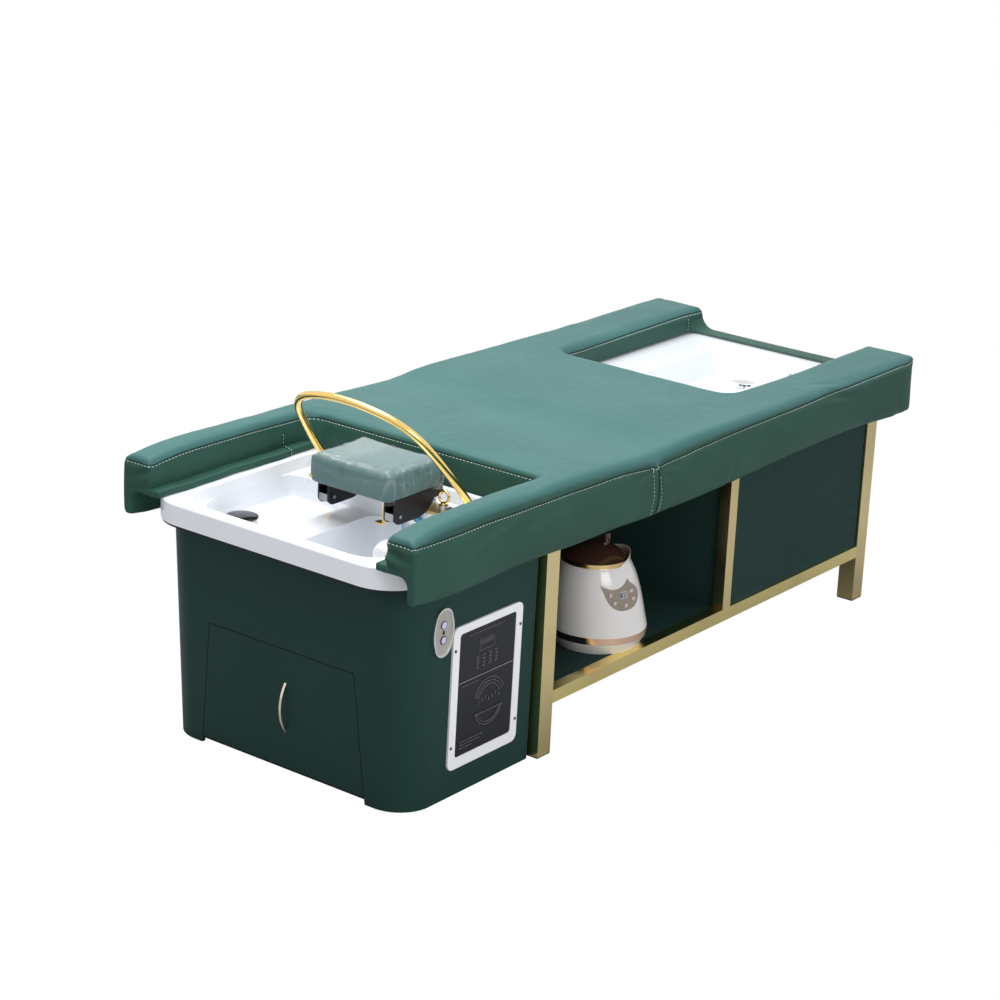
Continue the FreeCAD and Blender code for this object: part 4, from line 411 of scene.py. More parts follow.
# %% Give each solid its finish
FINISHES = {
    GOLD: ("legs", "mid_posts"), GOLD_RAIL: ("frame_rails",), GOLD_TUBE: ("spray_arch", "valve_handle"),
    GOLD_SATIN: ("bridge_bar", "arch_sockets", "tilt_stop"), CHAMPAGNE: ("door_handle",),
    # The head basin's waste cap: chrome with a painted dark reflection.
    CHROME_PAINTED_DARK: ("waste_cap",),
    CHROME: ("foot_waste_cap", "waste_fittings", "foot_tap", "switch_bezel", "strainer_grille"),
    STEEL: ("bridge_screws", "valve_body", "inlet_fittings", "door_hinge_knuckles", "door_hinge_leaves"),
    SCREW_STEEL: ("panel_screws",),
    SPRAY: ("hand_shower",), SWITCH_FACE: ("switch_plate",), SILVER: ("neck_pivots",),
    ROSE: ("steamer_trim",),
    ACRYLIC: ("head_basin", "foot_basin"), CASING: ("basin_casing", "access_door"),
    GREEN_BOARD: ("shelf_board", "divider_panel", "front_panel", "carcass_panels", "deck_board"),
    BLACK_PLASTIC: ("leg_glides", "casing_base", "pillow_board"), BLACK_RUBBER: ("rim_gasket",),
    GREY_PLASTIC: ("drain_trap",), WHITE_PLASTIC: ("water_tank", "shower_holder"),
    HOSE_RUBBER: ("plumbing_hoses",), BLUE_RUBBER: ("strainer_seal",),
    BLACK_METAL: ("neck_brackets", "circulation_pump"), WHITE_SIGN: ("instruction_frame",),
    BLACK_GLOSS: ("instruction_plate",), STEAMER_WHITE: ("steamer_base", "steamer_body"),
    TAUPE: ("steamer_panel",), SMOKED: ("steamer_lid",),
    LIT: ("switch_button_upper", "switch_button_lower"),
    KEY_CAP: tuple("steamer_button_%d" % number for number in range(1, 6)),
}


def coat(mesh, material):
    """The mesh keeps this one finish."""
    mesh.materials.clear()
    mesh.materials.append(material)


for material, names in FINISHES.items():
    for name in names:
        coat(nodes[name].data, material)
print("dressed", sum(len(names) for names in FINISHES.values()), "of", len(nodes), "solids")


# %% [markdown]
# New pieces all end the same way: a mesh object at the origin, a finish and a body to ride on.

# %% A new piece
def piece(name, mesh, body, material):
    item = placed(name, mesh)
    coat(mesh, material)
    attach(item, body)
    return item


def shade_smooth(mesh):
    mesh.polygons.foreach_set("use_smooth", [True] * len(mesh.polygons))


def mesh_from(name, points, faces, smooth=True):
    mesh = bpy.data.meshes.new(name)
    mesh.from_pydata([tuple(p) for p in points], [], faces)
    mesh.update()
    if smooth:
        shade_smooth(mesh)
    return mesh


def positions(mesh):
    flat = np.zeros(len(mesh.vertices) * 3)
    mesh.vertices.foreach_get("co", flat)
    return flat.reshape(-1, 3)


def move_to(mesh, points):
    mesh.vertices.foreach_set("co", np.asarray(points, np.float32).ravel())
    mesh.update()


def mark_points(mesh, name, values):
    """Keep one number for each point, which a finish can read."""
    mesh.attributes.new(name, "FLOAT", "POINT").data.foreach_set("value", values.astype(np.float32))


def ray_target(mesh):
    """The faces of a mesh, sorted so that rays land on them quickly."""
    faces = [tuple(face.vertices) for face in mesh.polygons]
    return BVHTree.FromPolygons([tuple(p) for p in positions(mesh)], faces)


# %% [markdown]
# The padded top is the main piece. Its side panels are sewn to the top panel along one seam that
# rises and falls, its arms reach past the head basin, and it has a notch over each basin. It starts as
# plain blocks that overlap. A voxel remesh turns them into one even skin, which is then moved point by
# point to the measured lines of the seam, the crown and the hem.

# %% Sizes of the padded top
HALF_LENGTH = 1.05
HALF_WIDTH = 0.424
# Along the bed: place, height of the seam, height of the crown, height of the hem
TOP_LINES = np.array((
    (-1.050, 0.664, 0.676, 0.537), (-1.000, 0.661, 0.683, 0.530), (-0.950, 0.660, 0.687, 0.526),
    (-0.900, 0.659, 0.688, 0.523), (-0.800, 0.660, 0.687, 0.525), (-0.700, 0.658, 0.686, 0.528),
    (-0.600, 0.656, 0.683, 0.527), (-0.500, 0.655, 0.681, 0.523), (-0.400, 0.652, 0.677, 0.522),
    (-0.350, 0.652, 0.675, 0.522), (-0.300, 0.650, 0.672, 0.521), (-0.250, 0.646, 0.670, 0.519),
    (-0.200, 0.641, 0.668, 0.517), (-0.160, 0.635, 0.667, 0.517), (-0.100, 0.640, 0.669, 0.517),
    (-0.050, 0.641, 0.673, 0.516), (0.000, 0.644, 0.674, 0.516), (0.100, 0.647, 0.673, 0.517),
    (0.224, 0.649, 0.670, 0.520), (0.452, 0.650, 0.666, 0.526), (0.691, 0.653, 0.664, 0.529),
    (0.800, 0.654, 0.665, 0.526), (0.945, 0.655, 0.665, 0.517), (1.050, 0.651, 0.664, 0.516)))
# Outline of the top panel: its corners and how round each is
OUTLINE_CORNERS = (
    (-1.050, -0.424, 0.006), (1.050, -0.424, 0.050), (1.050, -0.262, 0.014), (0.380, -0.262, 0.040),
    (0.380, 0.262, 0.030), (1.050, 0.262, 0.014), (1.050, 0.424, 0.050), (-1.050, 0.424, 0.006),
    (-1.050, 0.344, 0.006), (-0.512, 0.344, 0.045), (-0.512, -0.344, 0.012), (-1.050, -0.344, 0.006))
BLOCK_TOP = 0.660
BLOCK_HEM = 0.541
ARM_INSIDE = 0.344
# The lip's edge, its underside and its top
LIP = (0.317, 0.592, 0.609)
LIP_WIDTH = 0.027
FLAP_INSIDE = 0.404
# The foot bar's inner end and its top
FOOT_BAR = (0.988, 0.605)
# What the top sits on: both ends, half the width and the top of the foot basin and of the deck
TRAY = (0.349, 1.021, 0.291, 0.5975)
DECK = (-0.506, 1.013, 0.381, 0.5275)
CUT_FROM = 0.4


def line_at(x, column):
    return np.interp(x, TOP_LINES[:, 0], TOP_LINES[:, column])


def smooth01(value, low, high):
    share = np.clip((np.asarray(value, float) - low) / (high - low), 0, 1)
    return share * share * (3 - 2 * share)


def rounded(corners, steps=8):
    """Points of a closed outline whose corners are rounded."""
    points = []
    count = len(corners)
    for i, (x, y, radius) in enumerate(corners):
        here = Vector((x, y))
        back = (Vector(corners[i - 1][:2]) - here).normalized()
        ahead = (Vector(corners[(i + 1) % count][:2]) - here).normalized()
        start, end = here + back * radius, here + ahead * radius
        for step in range(steps + 1):
            share = step / steps
            spot = start * (1 - share) ** 2 + here * 2 * share * (1 - share) + end * share ** 2
            points.append((spot.x, spot.y))
    return points


OUTLINE = rounded(OUTLINE_CORNERS)
PER_CORNER = len(OUTLINE) // len(OUTLINE_CORNERS)
HEAD_NOTCH_EDGE = OUTLINE[8 * PER_CORNER:]
FOOT_NOTCH_EDGE = OUTLINE[2 * PER_CORNER:6 * PER_CORNER]
CLOSED_OUTLINE = OUTLINE + OUTLINE[:1]
print("outline of the top panel:", len(OUTLINE), "points")


# %% Blocks that overlap
def prism(outline, z0, z1):
    count = len(outline)
    corners = [(*p, z0) for p in outline] + [(*p, z1) for p in outline]
    faces = [tuple(range(count))[::-1], tuple(range(count, 2 * count))]
    faces += [(i, (i + 1) % count, (i + 1) % count + count, i + count) for i in range(count)]
    return mesh_from("block", corners, faces, smooth=False)


def slab(x0, x1, y0, y1, z0, z1):
    return prism([(x0, y0), (x1, y0), (x1, y1), (x0, y1)], z0, z1)


def evaluated(item):
    """The object's mesh with its modifiers applied."""
    bpy.context.view_layer.update()
    graph = bpy.context.evaluated_depsgraph_get()
    return bpy.data.meshes.new_from_object(item.evaluated_get(graph), depsgraph=graph)


def with_modifiers(mesh, *recipes):
    """Apply modifiers to a mesh: each recipe is a kind and its settings."""
    item = placed("making", mesh)
    for kind, settings in recipes:
        modifier = item.modifiers.new(kind.lower(), kind)
        for key, value in settings.items():
            setattr(modifier, key, value)
    result = evaluated(item)
    bpy.data.objects.remove(item)
    return result


def carved(base, cutters):
    """Take the cutters out of a block."""
    tools = [placed("cutter", cutter) for cutter in cutters]
    cut = {"operation": "DIFFERENCE", "solver": "EXACT"}
    result = with_modifiers(base, *[("BOOLEAN", {**cut, "object": tool}) for tool in tools])
    for tool in tools:
        bpy.data.objects.remove(tool)
    return result


def even_skin(mesh, voxel):
    """One even skin over blocks that overlap."""
    remesh = {"mode": "VOXEL", "voxel_size": voxel, "use_smooth_shade": True}
    return with_modifiers(mesh, ("REMESH", remesh))


def finer(mesh):
    return with_modifiers(mesh, ("SUBSURF", {"levels": 1, "render_levels": 1}))


def outward_faces(mesh):
    """Turn every face of a closed mesh outward."""
    made = bmesh.new()
    made.from_mesh(mesh)
    bmesh.ops.recalc_face_normals(made, faces=made.faces)
    made.to_mesh(mesh)
    made.free()
    return mesh


def joined(meshes):
    made = bmesh.new()
    for mesh in meshes:
        made.from_mesh(mesh)
    result = bpy.data.meshes.new("joined")
    made.to_mesh(result)
    made.free()
    return result


def corner_fill(side):
    """The slope where the foot bar runs up into an arm."""
    bar_x, bar_top = FOOT_BAR
    y = 0.264 * side
    inner = y - 0.034 * side
    middle = y - 0.012 * side
    section = [(y + 0.004 * side, bar_top - 0.004), (inner, bar_top - 0.004), (inner, bar_top),
               (middle, bar_top + 0.009), (y, bar_top + 0.032), (y + 0.004 * side, bar_top + 0.032)]
    points = [(x, *p) for x in (bar_x, HALF_LENGTH) for p in section]
    faces = [tuple(range(6)), tuple(range(11, 5, -1))]
    faces += [(i, i + 6, (i + 1) % 6 + 6, (i + 1) % 6) for i in range(6)]
    return outward_faces(mesh_from("fill", points, faces, smooth=False))


def rough_top():
    """The blocks of the top, cut free of what it sits on and of the head basin's rim."""
    bar_x, bar_top = FOOT_BAR
    tray, deck = (slab(x0, x1, -half, half, CUT_FROM, top) for x0, x1, half, top in (TRAY, DECK))
    over_rim = slab(-1.2, -0.51, -FLAP_INSIDE, FLAP_INSIDE, CUT_FROM, LIP[1])
    body = carved(prism(OUTLINE, BLOCK_HEM, BLOCK_TOP), [over_rim, tray, deck])
    bar = carved(slab(bar_x, HALF_LENGTH, -0.30, 0.30, BLOCK_HEM, bar_top), [tray, deck])
    return joined([body, bar, corner_fill(-1), corner_fill(1)])


def arm_lip(side):
    """The flat roll of leather along the foot of an arm's inner face."""
    edge, low, high = LIP
    root = ARM_INSIDE + 0.008
    section = rounded(((edge, low, 0.004), (root, low, 0.003), (root, high, 0.003), (edge, high, 0.006)), 4)
    places = np.concatenate([[-1.0485, -1.0475, -1.044], np.linspace(-1.02, -0.50, 27)])
    points, faces, count = [], [], len(section)
    for x in places:
        wave = 0.0012 * math.sin(23 * x + side) + 0.0008 * math.sin(61 * x)
        ease = {-1.0485: 0.72, -1.0475: 0.88}.get(float(x), 1.0)
        for y, z in section:
            y, z = ARM_INSIDE + (y - ARM_INSIDE) * ease, 0.600 + (z - 0.600) * ease
            points.append((x, side * (y + wave * (ARM_INSIDE - y) / LIP_WIDTH), z + wave * 0.6))
    for ring in range(len(places) - 1):
        for i in range(count):
            a, b = ring * count + i, ring * count + (i + 1) % count
            faces.append((a, b, b + count, a + count))
    faces += [tuple(range(count)), tuple(range(len(points) - 1, len(points) - 1 - count, -1))]
    return outward_faces(mesh_from("lip", points, faces))


VOXEL = 0.0085
top_mesh = even_skin(rough_top(), VOXEL)
print("skin of the padded top:", len(top_mesh.vertices), "points")


# %% [markdown]
# The skin now follows the measured lines. Near the edge of the top panel it rolls over in a quarter
# of an ellipse, and further in it is crowned. Each side panel bulges a little between the seam and
# the hem. Slow, fixed noise keeps any part of it from being perfectly even, as on real foam.

# %% Move the skin to the measured lines
ROLL = 0.022
END_ROLL = 0.010
NOTCH_ROLL = 0.014
NOTCH_ROLL_DROP = 0.0155
CROWN_RISE = 0.003
SIDE_SWELL = 0.0050
HEM_TUCK = 0.002
CORNER_CRISP = 0.0042
CORNER_REACH = 0.013


def distance_to_path(x, y, path):
    """Distance on the plan from each point to a path."""
    best = np.full(len(x), 9.0)
    for (x0, y0), (x1, y1) in zip(path, path[1:]):
        run = max((x1 - x0) ** 2 + (y1 - y0) ** 2, 1e-12)
        share = np.clip(((x - x0) * (x1 - x0) + (y - y0) * (y1 - y0)) / run, 0, 1)
        best = np.minimum(best, np.hypot(x - x0 - share * (x1 - x0), y - y0 - share * (y1 - y0)))
    return best


def clouds(points, scale, shift=0.0):
    """Slow noise between -1 and 1 at each point."""
    return np.array([noise.noise(Vector(p) * scale + Vector((shift, 0, 0))) for p in points])


def quarter(distance, radius):
    """A quarter of an ellipse: 0 on the edge, 1 beyond the radius."""
    return np.sqrt(1 - (1 - np.clip(distance / radius, 0, 1)) ** 2)


def top_surface(x, y):
    """Height of the top panel: it rolls down to the outer seams, and less to those of the notches."""
    side = np.abs(y)
    head_gap = (HALF_LENGTH + x) * ROLL / END_ROLL
    outer = np.maximum(np.minimum.reduce([HALF_WIDTH - side, HALF_LENGTH - x, head_gap]), 0)
    notch = np.minimum(distance_to_path(x, y, HEAD_NOTCH_EDGE), distance_to_path(x, y, FOOT_NOTCH_EDGE))
    crown, seam = line_at(x, 2), line_at(x, 1)
    height = crown - (crown - seam) * (1 - quarter(outer, ROLL))
    drop = NOTCH_ROLL_DROP * (1 - quarter(notch, NOTCH_ROLL))
    height = np.maximum(height - drop, np.minimum(seam, height))
    edge = np.minimum(outer, notch)
    return height + CROWN_RISE * smooth01(edge, 0.03, 0.25), edge


def shaped_top(points):
    x, y, z = points.T.copy()
    side = np.abs(y)
    surface, edge = top_surface(x, y)
    high = smooth01(z, 0.610, 0.652)
    on_top = smooth01(z, 0.648, 0.6585)
    low = smooth01(z, 0.590, 0.548) * smooth01(side, 0.388, 0.402)
    low = np.maximum(low, smooth01(z, 0.590, 0.548) * smooth01(x, 1.016, 1.03))
    soft = clouds(points, 3.2) * 0.0022 + clouds(points, 9.0, 7.0) * 0.0009
    new_z = z + (surface - BLOCK_TOP) * high + (line_at(x, 3) - 0.003 - BLOCK_HEM) * low
    new_z += soft * smooth01(edge, 0.0, 0.03) * on_top
    seam, hem = line_at(x, 1), line_at(x, 3)
    share = np.clip((new_z - hem) / (seam - hem), 0, 1)
    near_corner = smooth01(HALF_LENGTH - np.abs(x), 0.10, 0.02) * smooth01(side, 0.30, 0.40)
    swell = (SIDE_SWELL + clouds(points, 6.0, 3.0) * 0.002) * np.sin(np.pi * share ** 0.8)
    swell *= 1 - 0.8 * near_corner
    outer = smooth01(side, 0.412, 0.421)
    bead = 0.0015 * on_top * np.sin(np.pi * np.clip(edge / ROLL, 0, 1))
    new_y = y + np.sign(y) * (swell + bead) * outer
    ends = smooth01(np.abs(x), 1.040, 1.047)
    new_x = x + np.sign(x) * swell * 0.8 * ends
    to_edge = np.hypot(HALF_LENGTH - np.abs(x), HALF_WIDTH - side)
    crisp = CORNER_CRISP * np.exp(-(to_edge / CORNER_REACH) ** 2)
    new_y += np.sign(y) * crisp
    new_x += np.sign(x) * crisp * (x < 0)
    tuck = smooth01(share, 0.06, 0.0) * HEM_TUCK
    new_y -= np.sign(y) * tuck * outer
    new_x -= np.sign(x) * tuck * ends
    return np.stack([new_x, new_y, new_z], 1)


move_to(top_mesh, shaped_top(positions(top_mesh)))
print("height of the top:", round(float(positions(top_mesh)[:, 2].max()), 4), "m")


# %% [markdown]
# Foam pushes its cover out. The skin is blown up a little as cloth, with no gravity, and no point may
# move further than a few millimetres. That rounds the shape as foam does, between seams that hold.

# %% Blow the skin up as cloth
CLOTH = {"vertex_group_mass": "held", "quality": 4, "mass": 0.25, "tension_stiffness": 12,
         "compression_stiffness": 12, "bending_stiffness": 0.4, "use_pressure": True,
         "uniform_pressure_force": 4.0}
CLOTH_FRAMES = 20


def puffed(mesh, cap, held):
    """The skin after a short cloth simulation, with each point's move capped."""
    scene = bpy.context.scene
    item = placed("puffing", mesh)
    before = positions(mesh)
    cloth = item.modifiers.new("cloth", "CLOTH")
    group = item.vertex_groups.new(name="held")
    group.add([int(i) for i in np.nonzero(held)[0]], 1.0, "REPLACE")
    for key, value in CLOTH.items():
        setattr(cloth.settings, key, value)
    cloth.settings.effector_weights.gravity = 0
    cloth.point_cache.frame_start = 1
    cloth.point_cache.frame_end = CLOTH_FRAMES
    for step in range(1, CLOTH_FRAMES + 1):
        scene.frame_set(step)
    result = evaluated(item)
    bpy.data.objects.remove(item)
    scene.frame_set(1)
    moved = positions(result) - before
    far = np.linalg.norm(moved, axis=1)
    moved *= (np.tanh(far / cap) * cap / np.maximum(far, 1e-9))[:, None]
    move_to(result, before + moved)
    return result


TOP_CAP = 0.0025
SEAM_REACH = 0.004
x, y, z = positions(top_mesh).T
under = (z < 0.612) & (np.abs(y) < 0.40) & (x < 1.03)
under |= (z < 0.640) & (x < -0.99)
seam_row = np.abs(z - line_at(x, 1)) < SEAM_REACH
seam_row &= distance_to_path(x, y, CLOSED_OUTLINE) < SEAM_REACH
top_mesh = finer(puffed(top_mesh, TOP_CAP, under | seam_row))
top_mesh = joined([top_mesh, arm_lip(-1), arm_lip(1)])
shade_smooth(top_mesh)
print("padded top:", len(top_mesh.vertices), "points")


# %% [markdown]
# Sewing leaves marks that foam alone doesn't. The seam pulls the cover in along a fine groove, two
# upright seams on each long side gather it, and the ends of the arms crease. A crease is a line on a
# side of the pad, with a depth and a width, and a soft swelling beside it.

# %% Grooves and creases
PLANES = {"side": (0, 2), "end": (1, 2)}
GROOVE_DEPTH = 0.0016
GROOVE_WIDTH = 0.0045
FINE_RIPPLE = 0.00035


def crease(points, plane, start, end, depth, width, mask):
    """How far in each point goes for one crease, given as a line on a plane."""
    a, b = PLANES[plane]
    u, v = points[:, a], points[:, b]
    (u0, v0), (u1, v1) = start, end
    run = (u1 - u0) ** 2 + (v1 - v0) ** 2
    share = np.clip(((u - u0) * (u1 - u0) + (v - v0) * (v1 - v0)) / run, 0, 1)
    away = np.hypot(u - u0 - share * (u1 - u0), v - v0 - share * (v1 - v0)) / width
    taper = 1 - 0.75 * share
    return depth * taper * (np.exp(-away ** 2) - 0.35 * np.exp(-((away - 1.9) / 0.9) ** 2)) * mask


NEAR_CREASES = (
    ((-0.177, 0.636), (-0.184, 0.528), 0.0040, 0.005), ((-0.157, 0.634), (-0.153, 0.528), 0.0040, 0.005),
    ((-0.180, 0.634), (-0.262, 0.622), 0.0030, 0.008), ((-0.181, 0.622), (-0.240, 0.590), 0.0022, 0.009),
    ((-0.182, 0.600), (-0.250, 0.560), 0.0018, 0.010), ((-0.154, 0.632), (-0.075, 0.625), 0.0030, 0.008),
    ((-0.153, 0.618), (-0.090, 0.585), 0.0022, 0.009), ((-0.153, 0.590), (-0.080, 0.552), 0.0018, 0.010),
    ((-0.184, 0.545), (-0.215, 0.530), 0.0020, 0.008), ((0.150, 0.520), (0.160, 0.565), 0.0022, 0.012),
    ((-0.620, 0.655), (-0.700, 0.600), 0.0012, 0.016), ((0.360, 0.640), (0.470, 0.600), 0.0014, 0.015),
    ((0.780, 0.535), (0.700, 0.570), 0.0018, 0.013), ((0.965, 0.522), (0.930, 0.575), 0.0022, 0.012),
    ((-1.040, 0.600), (-0.960, 0.590), 0.0012, 0.012), ((-0.420, 0.540), (-0.360, 0.575), 0.0012, 0.014))
END_CREASES = (
    ((-0.350, 0.644), (-0.414, 0.631), 0.0064, 0.009), ((-0.350, 0.612), (-0.398, 0.603), 0.0056, 0.007),
    ((-0.356, 0.629), (-0.402, 0.619), -0.0030, 0.009),
    ((0.350, 0.650), (0.405, 0.628), 0.0045, 0.007), ((0.352, 0.612), (0.412, 0.596), 0.0040, 0.008))


def creased(points):
    x, y, z = points.T
    below = smooth01(z, 0.685, 0.655)
    near = smooth01(-y, 0.395, 0.415) * below
    far = smooth01(y, 0.395, 0.415) * below
    head_end = smooth01(-x, 1.030, 1.042) * below * smooth01(np.abs(y), 0.338, 0.352)
    inward = np.zeros_like(points)
    for start, end, depth, width in NEAR_CREASES:
        inward[:, 1] += crease(points, "side", start, end, depth, width, near)
        mirrored = ((-start[0] * 0.92 + 0.05, start[1]), (-end[0] * 0.92 + 0.05, end[1]))
        inward[:, 1] -= crease(points, "side", *mirrored, depth * 0.8, width, far)
    for start, end, depth, width in END_CREASES:
        inward[:, 0] += crease(points, "end", start, end, depth, width, head_end)
    seam = line_at(x, 1)
    groove = np.exp(-((z - seam + 0.001) / GROOVE_WIDTH) ** 2)
    groove *= smooth01(distance_to_path(x, y, CLOSED_OUTLINE), 0.02, 0.008)
    pull = GROOVE_DEPTH * groove
    inward[:, 1] -= np.sign(y) * pull * smooth01(np.abs(y), 0.405, 0.42)
    inward[:, 0] -= np.sign(x) * pull * smooth01(np.abs(x), 1.035, 1.045)
    fine = clouds(points, 38.0, 11.0) * FINE_RIPPLE
    inward[:, 2] += fine * smooth01(z, 0.655, 0.662)
    return points + inward


move_to(top_mesh, creased(positions(top_mesh)))
skin = positions(top_mesh)
# The attribute is 1 on the top panel and 0 on the side panels, which the leather paints in shade.
panel = smooth01(skin[:, 2] - top_surface(skin[:, 0], skin[:, 1])[0], -0.009, -0.004)
mark_points(top_mesh, "panel", panel)
padded_top = piece("padded_top", top_mesh, "bed", LEATHER)
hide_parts("mattress")
print("padded top made:", len(top_mesh.polygons), "faces")


# %% [markdown]
# Geometry Nodes make what repeats. Blender keeps such a tree apart from the mesh, with named inputs,
# so that one tree serves every seam. The class below adds nodes by type, as the finish does, and
# runs a tree on a mesh to give back a plain mesh, because an export drops instances.

# %% A tree that makes repeated pieces
class Repeater:
    """A Geometry Nodes tree with named inputs."""

    def __init__(self, name, *inputs):
        self.tree = bpy.data.node_groups.new(name, "GeometryNodeTree")
        self.tree.interface.new_socket("Geometry", in_out="INPUT", socket_type="NodeSocketGeometry")
        for key in inputs:
            kind = "NodeSocketMaterial" if key == "Material" else "NodeSocketFloat"
            self.tree.interface.new_socket(key, in_out="INPUT", socket_type=kind)
        self.tree.interface.new_socket("Geometry", in_out="OUTPUT", socket_type="NodeSocketGeometry")
        self.given = self.tree.nodes.new("NodeGroupInput").outputs

    def node(self, kind, settings=None, output=0, **inputs):
        return new_node(self.tree, kind, settings, **inputs).outputs[output]

    def close(self, geometry):
        """End the tree: real geometry, with its material."""
        real = self.node("GeometryNodeRealizeInstances", Geometry=geometry)
        made = self.node("GeometryNodeSetMaterial", Geometry=real, Material=self.given["Material"])
        self.tree.links.new(made, self.tree.nodes.new("NodeGroupOutput").inputs[0])

    def run(self, mesh, **values):
        item = placed("repeating", mesh)
        modifier = item.modifiers.new("repeat", "NODES")
        modifier.node_group = self.tree
        for socket in self.tree.interface.items_tree:
            if socket.in_out == "INPUT" and socket.name in values:
                modifier[socket.identifier] = values[socket.name]
        result = evaluated(item)
        bpy.data.objects.remove(item)
        return result


def stitch_tree():
    """Stitches along a path: a row of small spindles, each turned to the path."""
    rows = Repeater("Stitch_row", "Pitch", "Length", "Thickness", "Material")
    path = rows.node("GeometryNodeMeshToCurve", Mesh=rows.given["Geometry"])
    spots = new_node(rows.tree, "GeometryNodeCurveToPoints", {"mode": "LENGTH"}, Curve=path,
                     Length=rows.given["Pitch"])
    turn = rows.node("FunctionNodeAlignRotationToVector", {"axis": "Z"}, Vector=spots.outputs["Tangent"])
    ball = rows.node("GeometryNodeMeshUVSphere", Segments=6, Rings=4, Radius=1.0)
    size = rows.node("ShaderNodeCombineXYZ", X=rows.given["Thickness"], Y=rows.given["Thickness"],
                     Z=rows.given["Length"])
    rows.close(rows.node("GeometryNodeInstanceOnPoints", Points=spots.outputs["Points"], Instance=ball,
                         Rotation=turn, Scale=size))
    return rows


def fold_tree():
    """A thin roll of leather along a path."""
    rolls = Repeater("Seam_roll", "Thickness", "Material")
    path = rolls.node("GeometryNodeMeshToCurve", Mesh=rolls.given["Geometry"])
    ring = rolls.node("GeometryNodeCurvePrimitiveCircle", Resolution=6, Radius=rolls.given["Thickness"])
    rolls.close(rolls.node("GeometryNodeCurveToMesh", Curve=path, Profile_Curve=ring, Fill_Caps=True))
    return rolls


STITCH_ROW = stitch_tree()
SEAM_ROLL = fold_tree()
print("trees for stitches and rolls ready")

# %% [markdown]
# The stitches lie on the cover, wherever the foam has pushed it. So a ray is sent in from outside at
# the height of the seam, all the way round the outline, and the row follows the points where the
# rays land. The thread is off-white, and a thin roll of leather shows just above it, dark as painted
# shade in the seam's groove.

# %% Rows of stitches round the top panel
PATH_GAP = 0.005
BESIDE_BED = 0.6
THREAD = moulding("Seam_thread", (0.62, 0.66, 0.60), 0.6, 0.1)
top_tree = ray_target(top_mesh)


def even_path(points, gap):
    """Points a fixed gap apart along a closed path, with the direction of travel at each."""
    loop = np.array(points + points[:1])
    runs = np.linalg.norm(np.diff(loop, axis=0), axis=1)
    along = np.concatenate([[0], np.cumsum(runs)])
    places = np.arange(0, along[-1], gap)
    spots = np.stack([np.interp(places, along, loop[:, k]) for k in (0, 1)], 1)
    ahead = np.stack([np.interp((places + 0.004) % along[-1], along, loop[:, k]) for k in (0, 1)], 1)
    return spots, ahead - spots


def path_mesh(name, points, closed=False):
    mesh = bpy.data.meshes.new(name)
    edges = [(i, i + 1) for i in range(len(points) - 1)] + ([(len(points) - 1, 0)] if closed else [])
    mesh.from_pydata([tuple(p) for p in points], edges, [])
    return mesh


def landed(rays, reach, out):
    """Where rays land on the cover, moved out along its normal. A ray that misses is dropped."""
    hits = [top_tree.ray_cast(start, way, reach) for start, way in rays]
    return [place + normal * out for place, normal, _, _ in hits if place is not None]


def round_the_top(lift, out):
    """Where rays from outside land on the cover, level with the seam."""
    spots, ways = even_path(OUTLINE, PATH_GAP)
    heights = top_surface(spots[:, 0], spots[:, 1])[0] + lift
    rays = []
    for (x, y), (dx, dy), z in zip(spots, ways, heights):
        outward = Vector((dy, -dx, 0)).normalized()
        rays.append((Vector((x, y, z)) + outward * 0.02, -outward))
    return landed(rays, 0.05, out)


def on_the_side(points, out, sign, start=BESIDE_BED):
    """Where rays across the bed land on a side of the cover, met on the way from the start."""
    across = Vector((0, -sign, 0))
    return landed([(Vector((x, start * sign, z)), across) for x, z in points], 0.4, out)


def straight(start, end, count=24, bow=0.0):
    """Points from start to end, with a sideways bow."""
    shares = np.linspace(0, 1, count)
    return [(start[0] + (end[0] - start[0]) * t + bow * math.sin(math.pi * t),
             start[1] + (end[1] - start[1]) * t) for t in shares]


def stitched(path, pitch, length, thickness, closed=False):
    row = path_mesh("row", path, closed)
    return STITCH_ROW.run(row, Pitch=pitch, Length=length, Thickness=thickness, Material=THREAD)


def rolled(path, thickness, material, closed=False):
    """A thin bead along a path."""
    return SEAM_ROLL.run(path_mesh("line", path, closed), Thickness=thickness, Material=material)


seam_stitches = stitched(round_the_top(-0.0035, 0.0002), 0.0105, 0.0036, 0.0008, closed=True)
piece("seam_stitches", seam_stitches, "bed", THREAD)
seam_shade_roll = rolled(round_the_top(0.0005, -0.0004), 0.0013, SEAM_SHADE_LEATHER, closed=True)
piece("seam_shade_roll", seam_shade_roll, "bed", SEAM_SHADE_LEATHER)
print("round the top:", len(seam_stitches.polygons), "faces of thread")

# %% [markdown]
# Two upright seams on each long side join the cover's pieces. The leather is gathered between them
# into a pleat, drawn as a dark roll of painted shade, and each row of thread ends in knots at the top.
# Plain seams also cross the inner faces of the arms, with the same dark roll of painted shade.

# %% Upright seams
SIDE_STITCH = (0.0085, 0.0030, 0.0007)
THREAD_OUT = 0.0003
for sign, label, middle in ((-1, "near", 0.0), (1, "far", 0.31)):
    left = straight((-0.177 + middle, 0.634), (-0.184 + middle, 0.527))
    right = straight((-0.157 + middle, 0.633), (-0.153 + middle, 0.527), bow=0.004)
    pleat = straight((-0.167 + middle, 0.632), (-0.169 + middle, 0.527), bow=0.002)
    threads = []
    for line in (left, right):
        threads.append(stitched(on_the_side(line, THREAD_OUT, sign), *SIDE_STITCH))
        knot = [(line[0][0], 0.637), (line[0][0] + 0.001, 0.628)]
        threads.append(rolled(on_the_side(knot, 0.0012, sign), 0.0014, THREAD))
    # The pleat is a dark roll of leather: painted shade between the two seams.
    roll = rolled(on_the_side(pleat, -0.0002, sign), 0.0022, SEAM_SHADE_LEATHER)
    piece("upright_stitches_" + label, joined(threads), "bed", THREAD)
    piece("upright_pleat_shade_" + label, joined([roll]), "bed", SEAM_SHADE_LEATHER)
threads, rolls = [], []
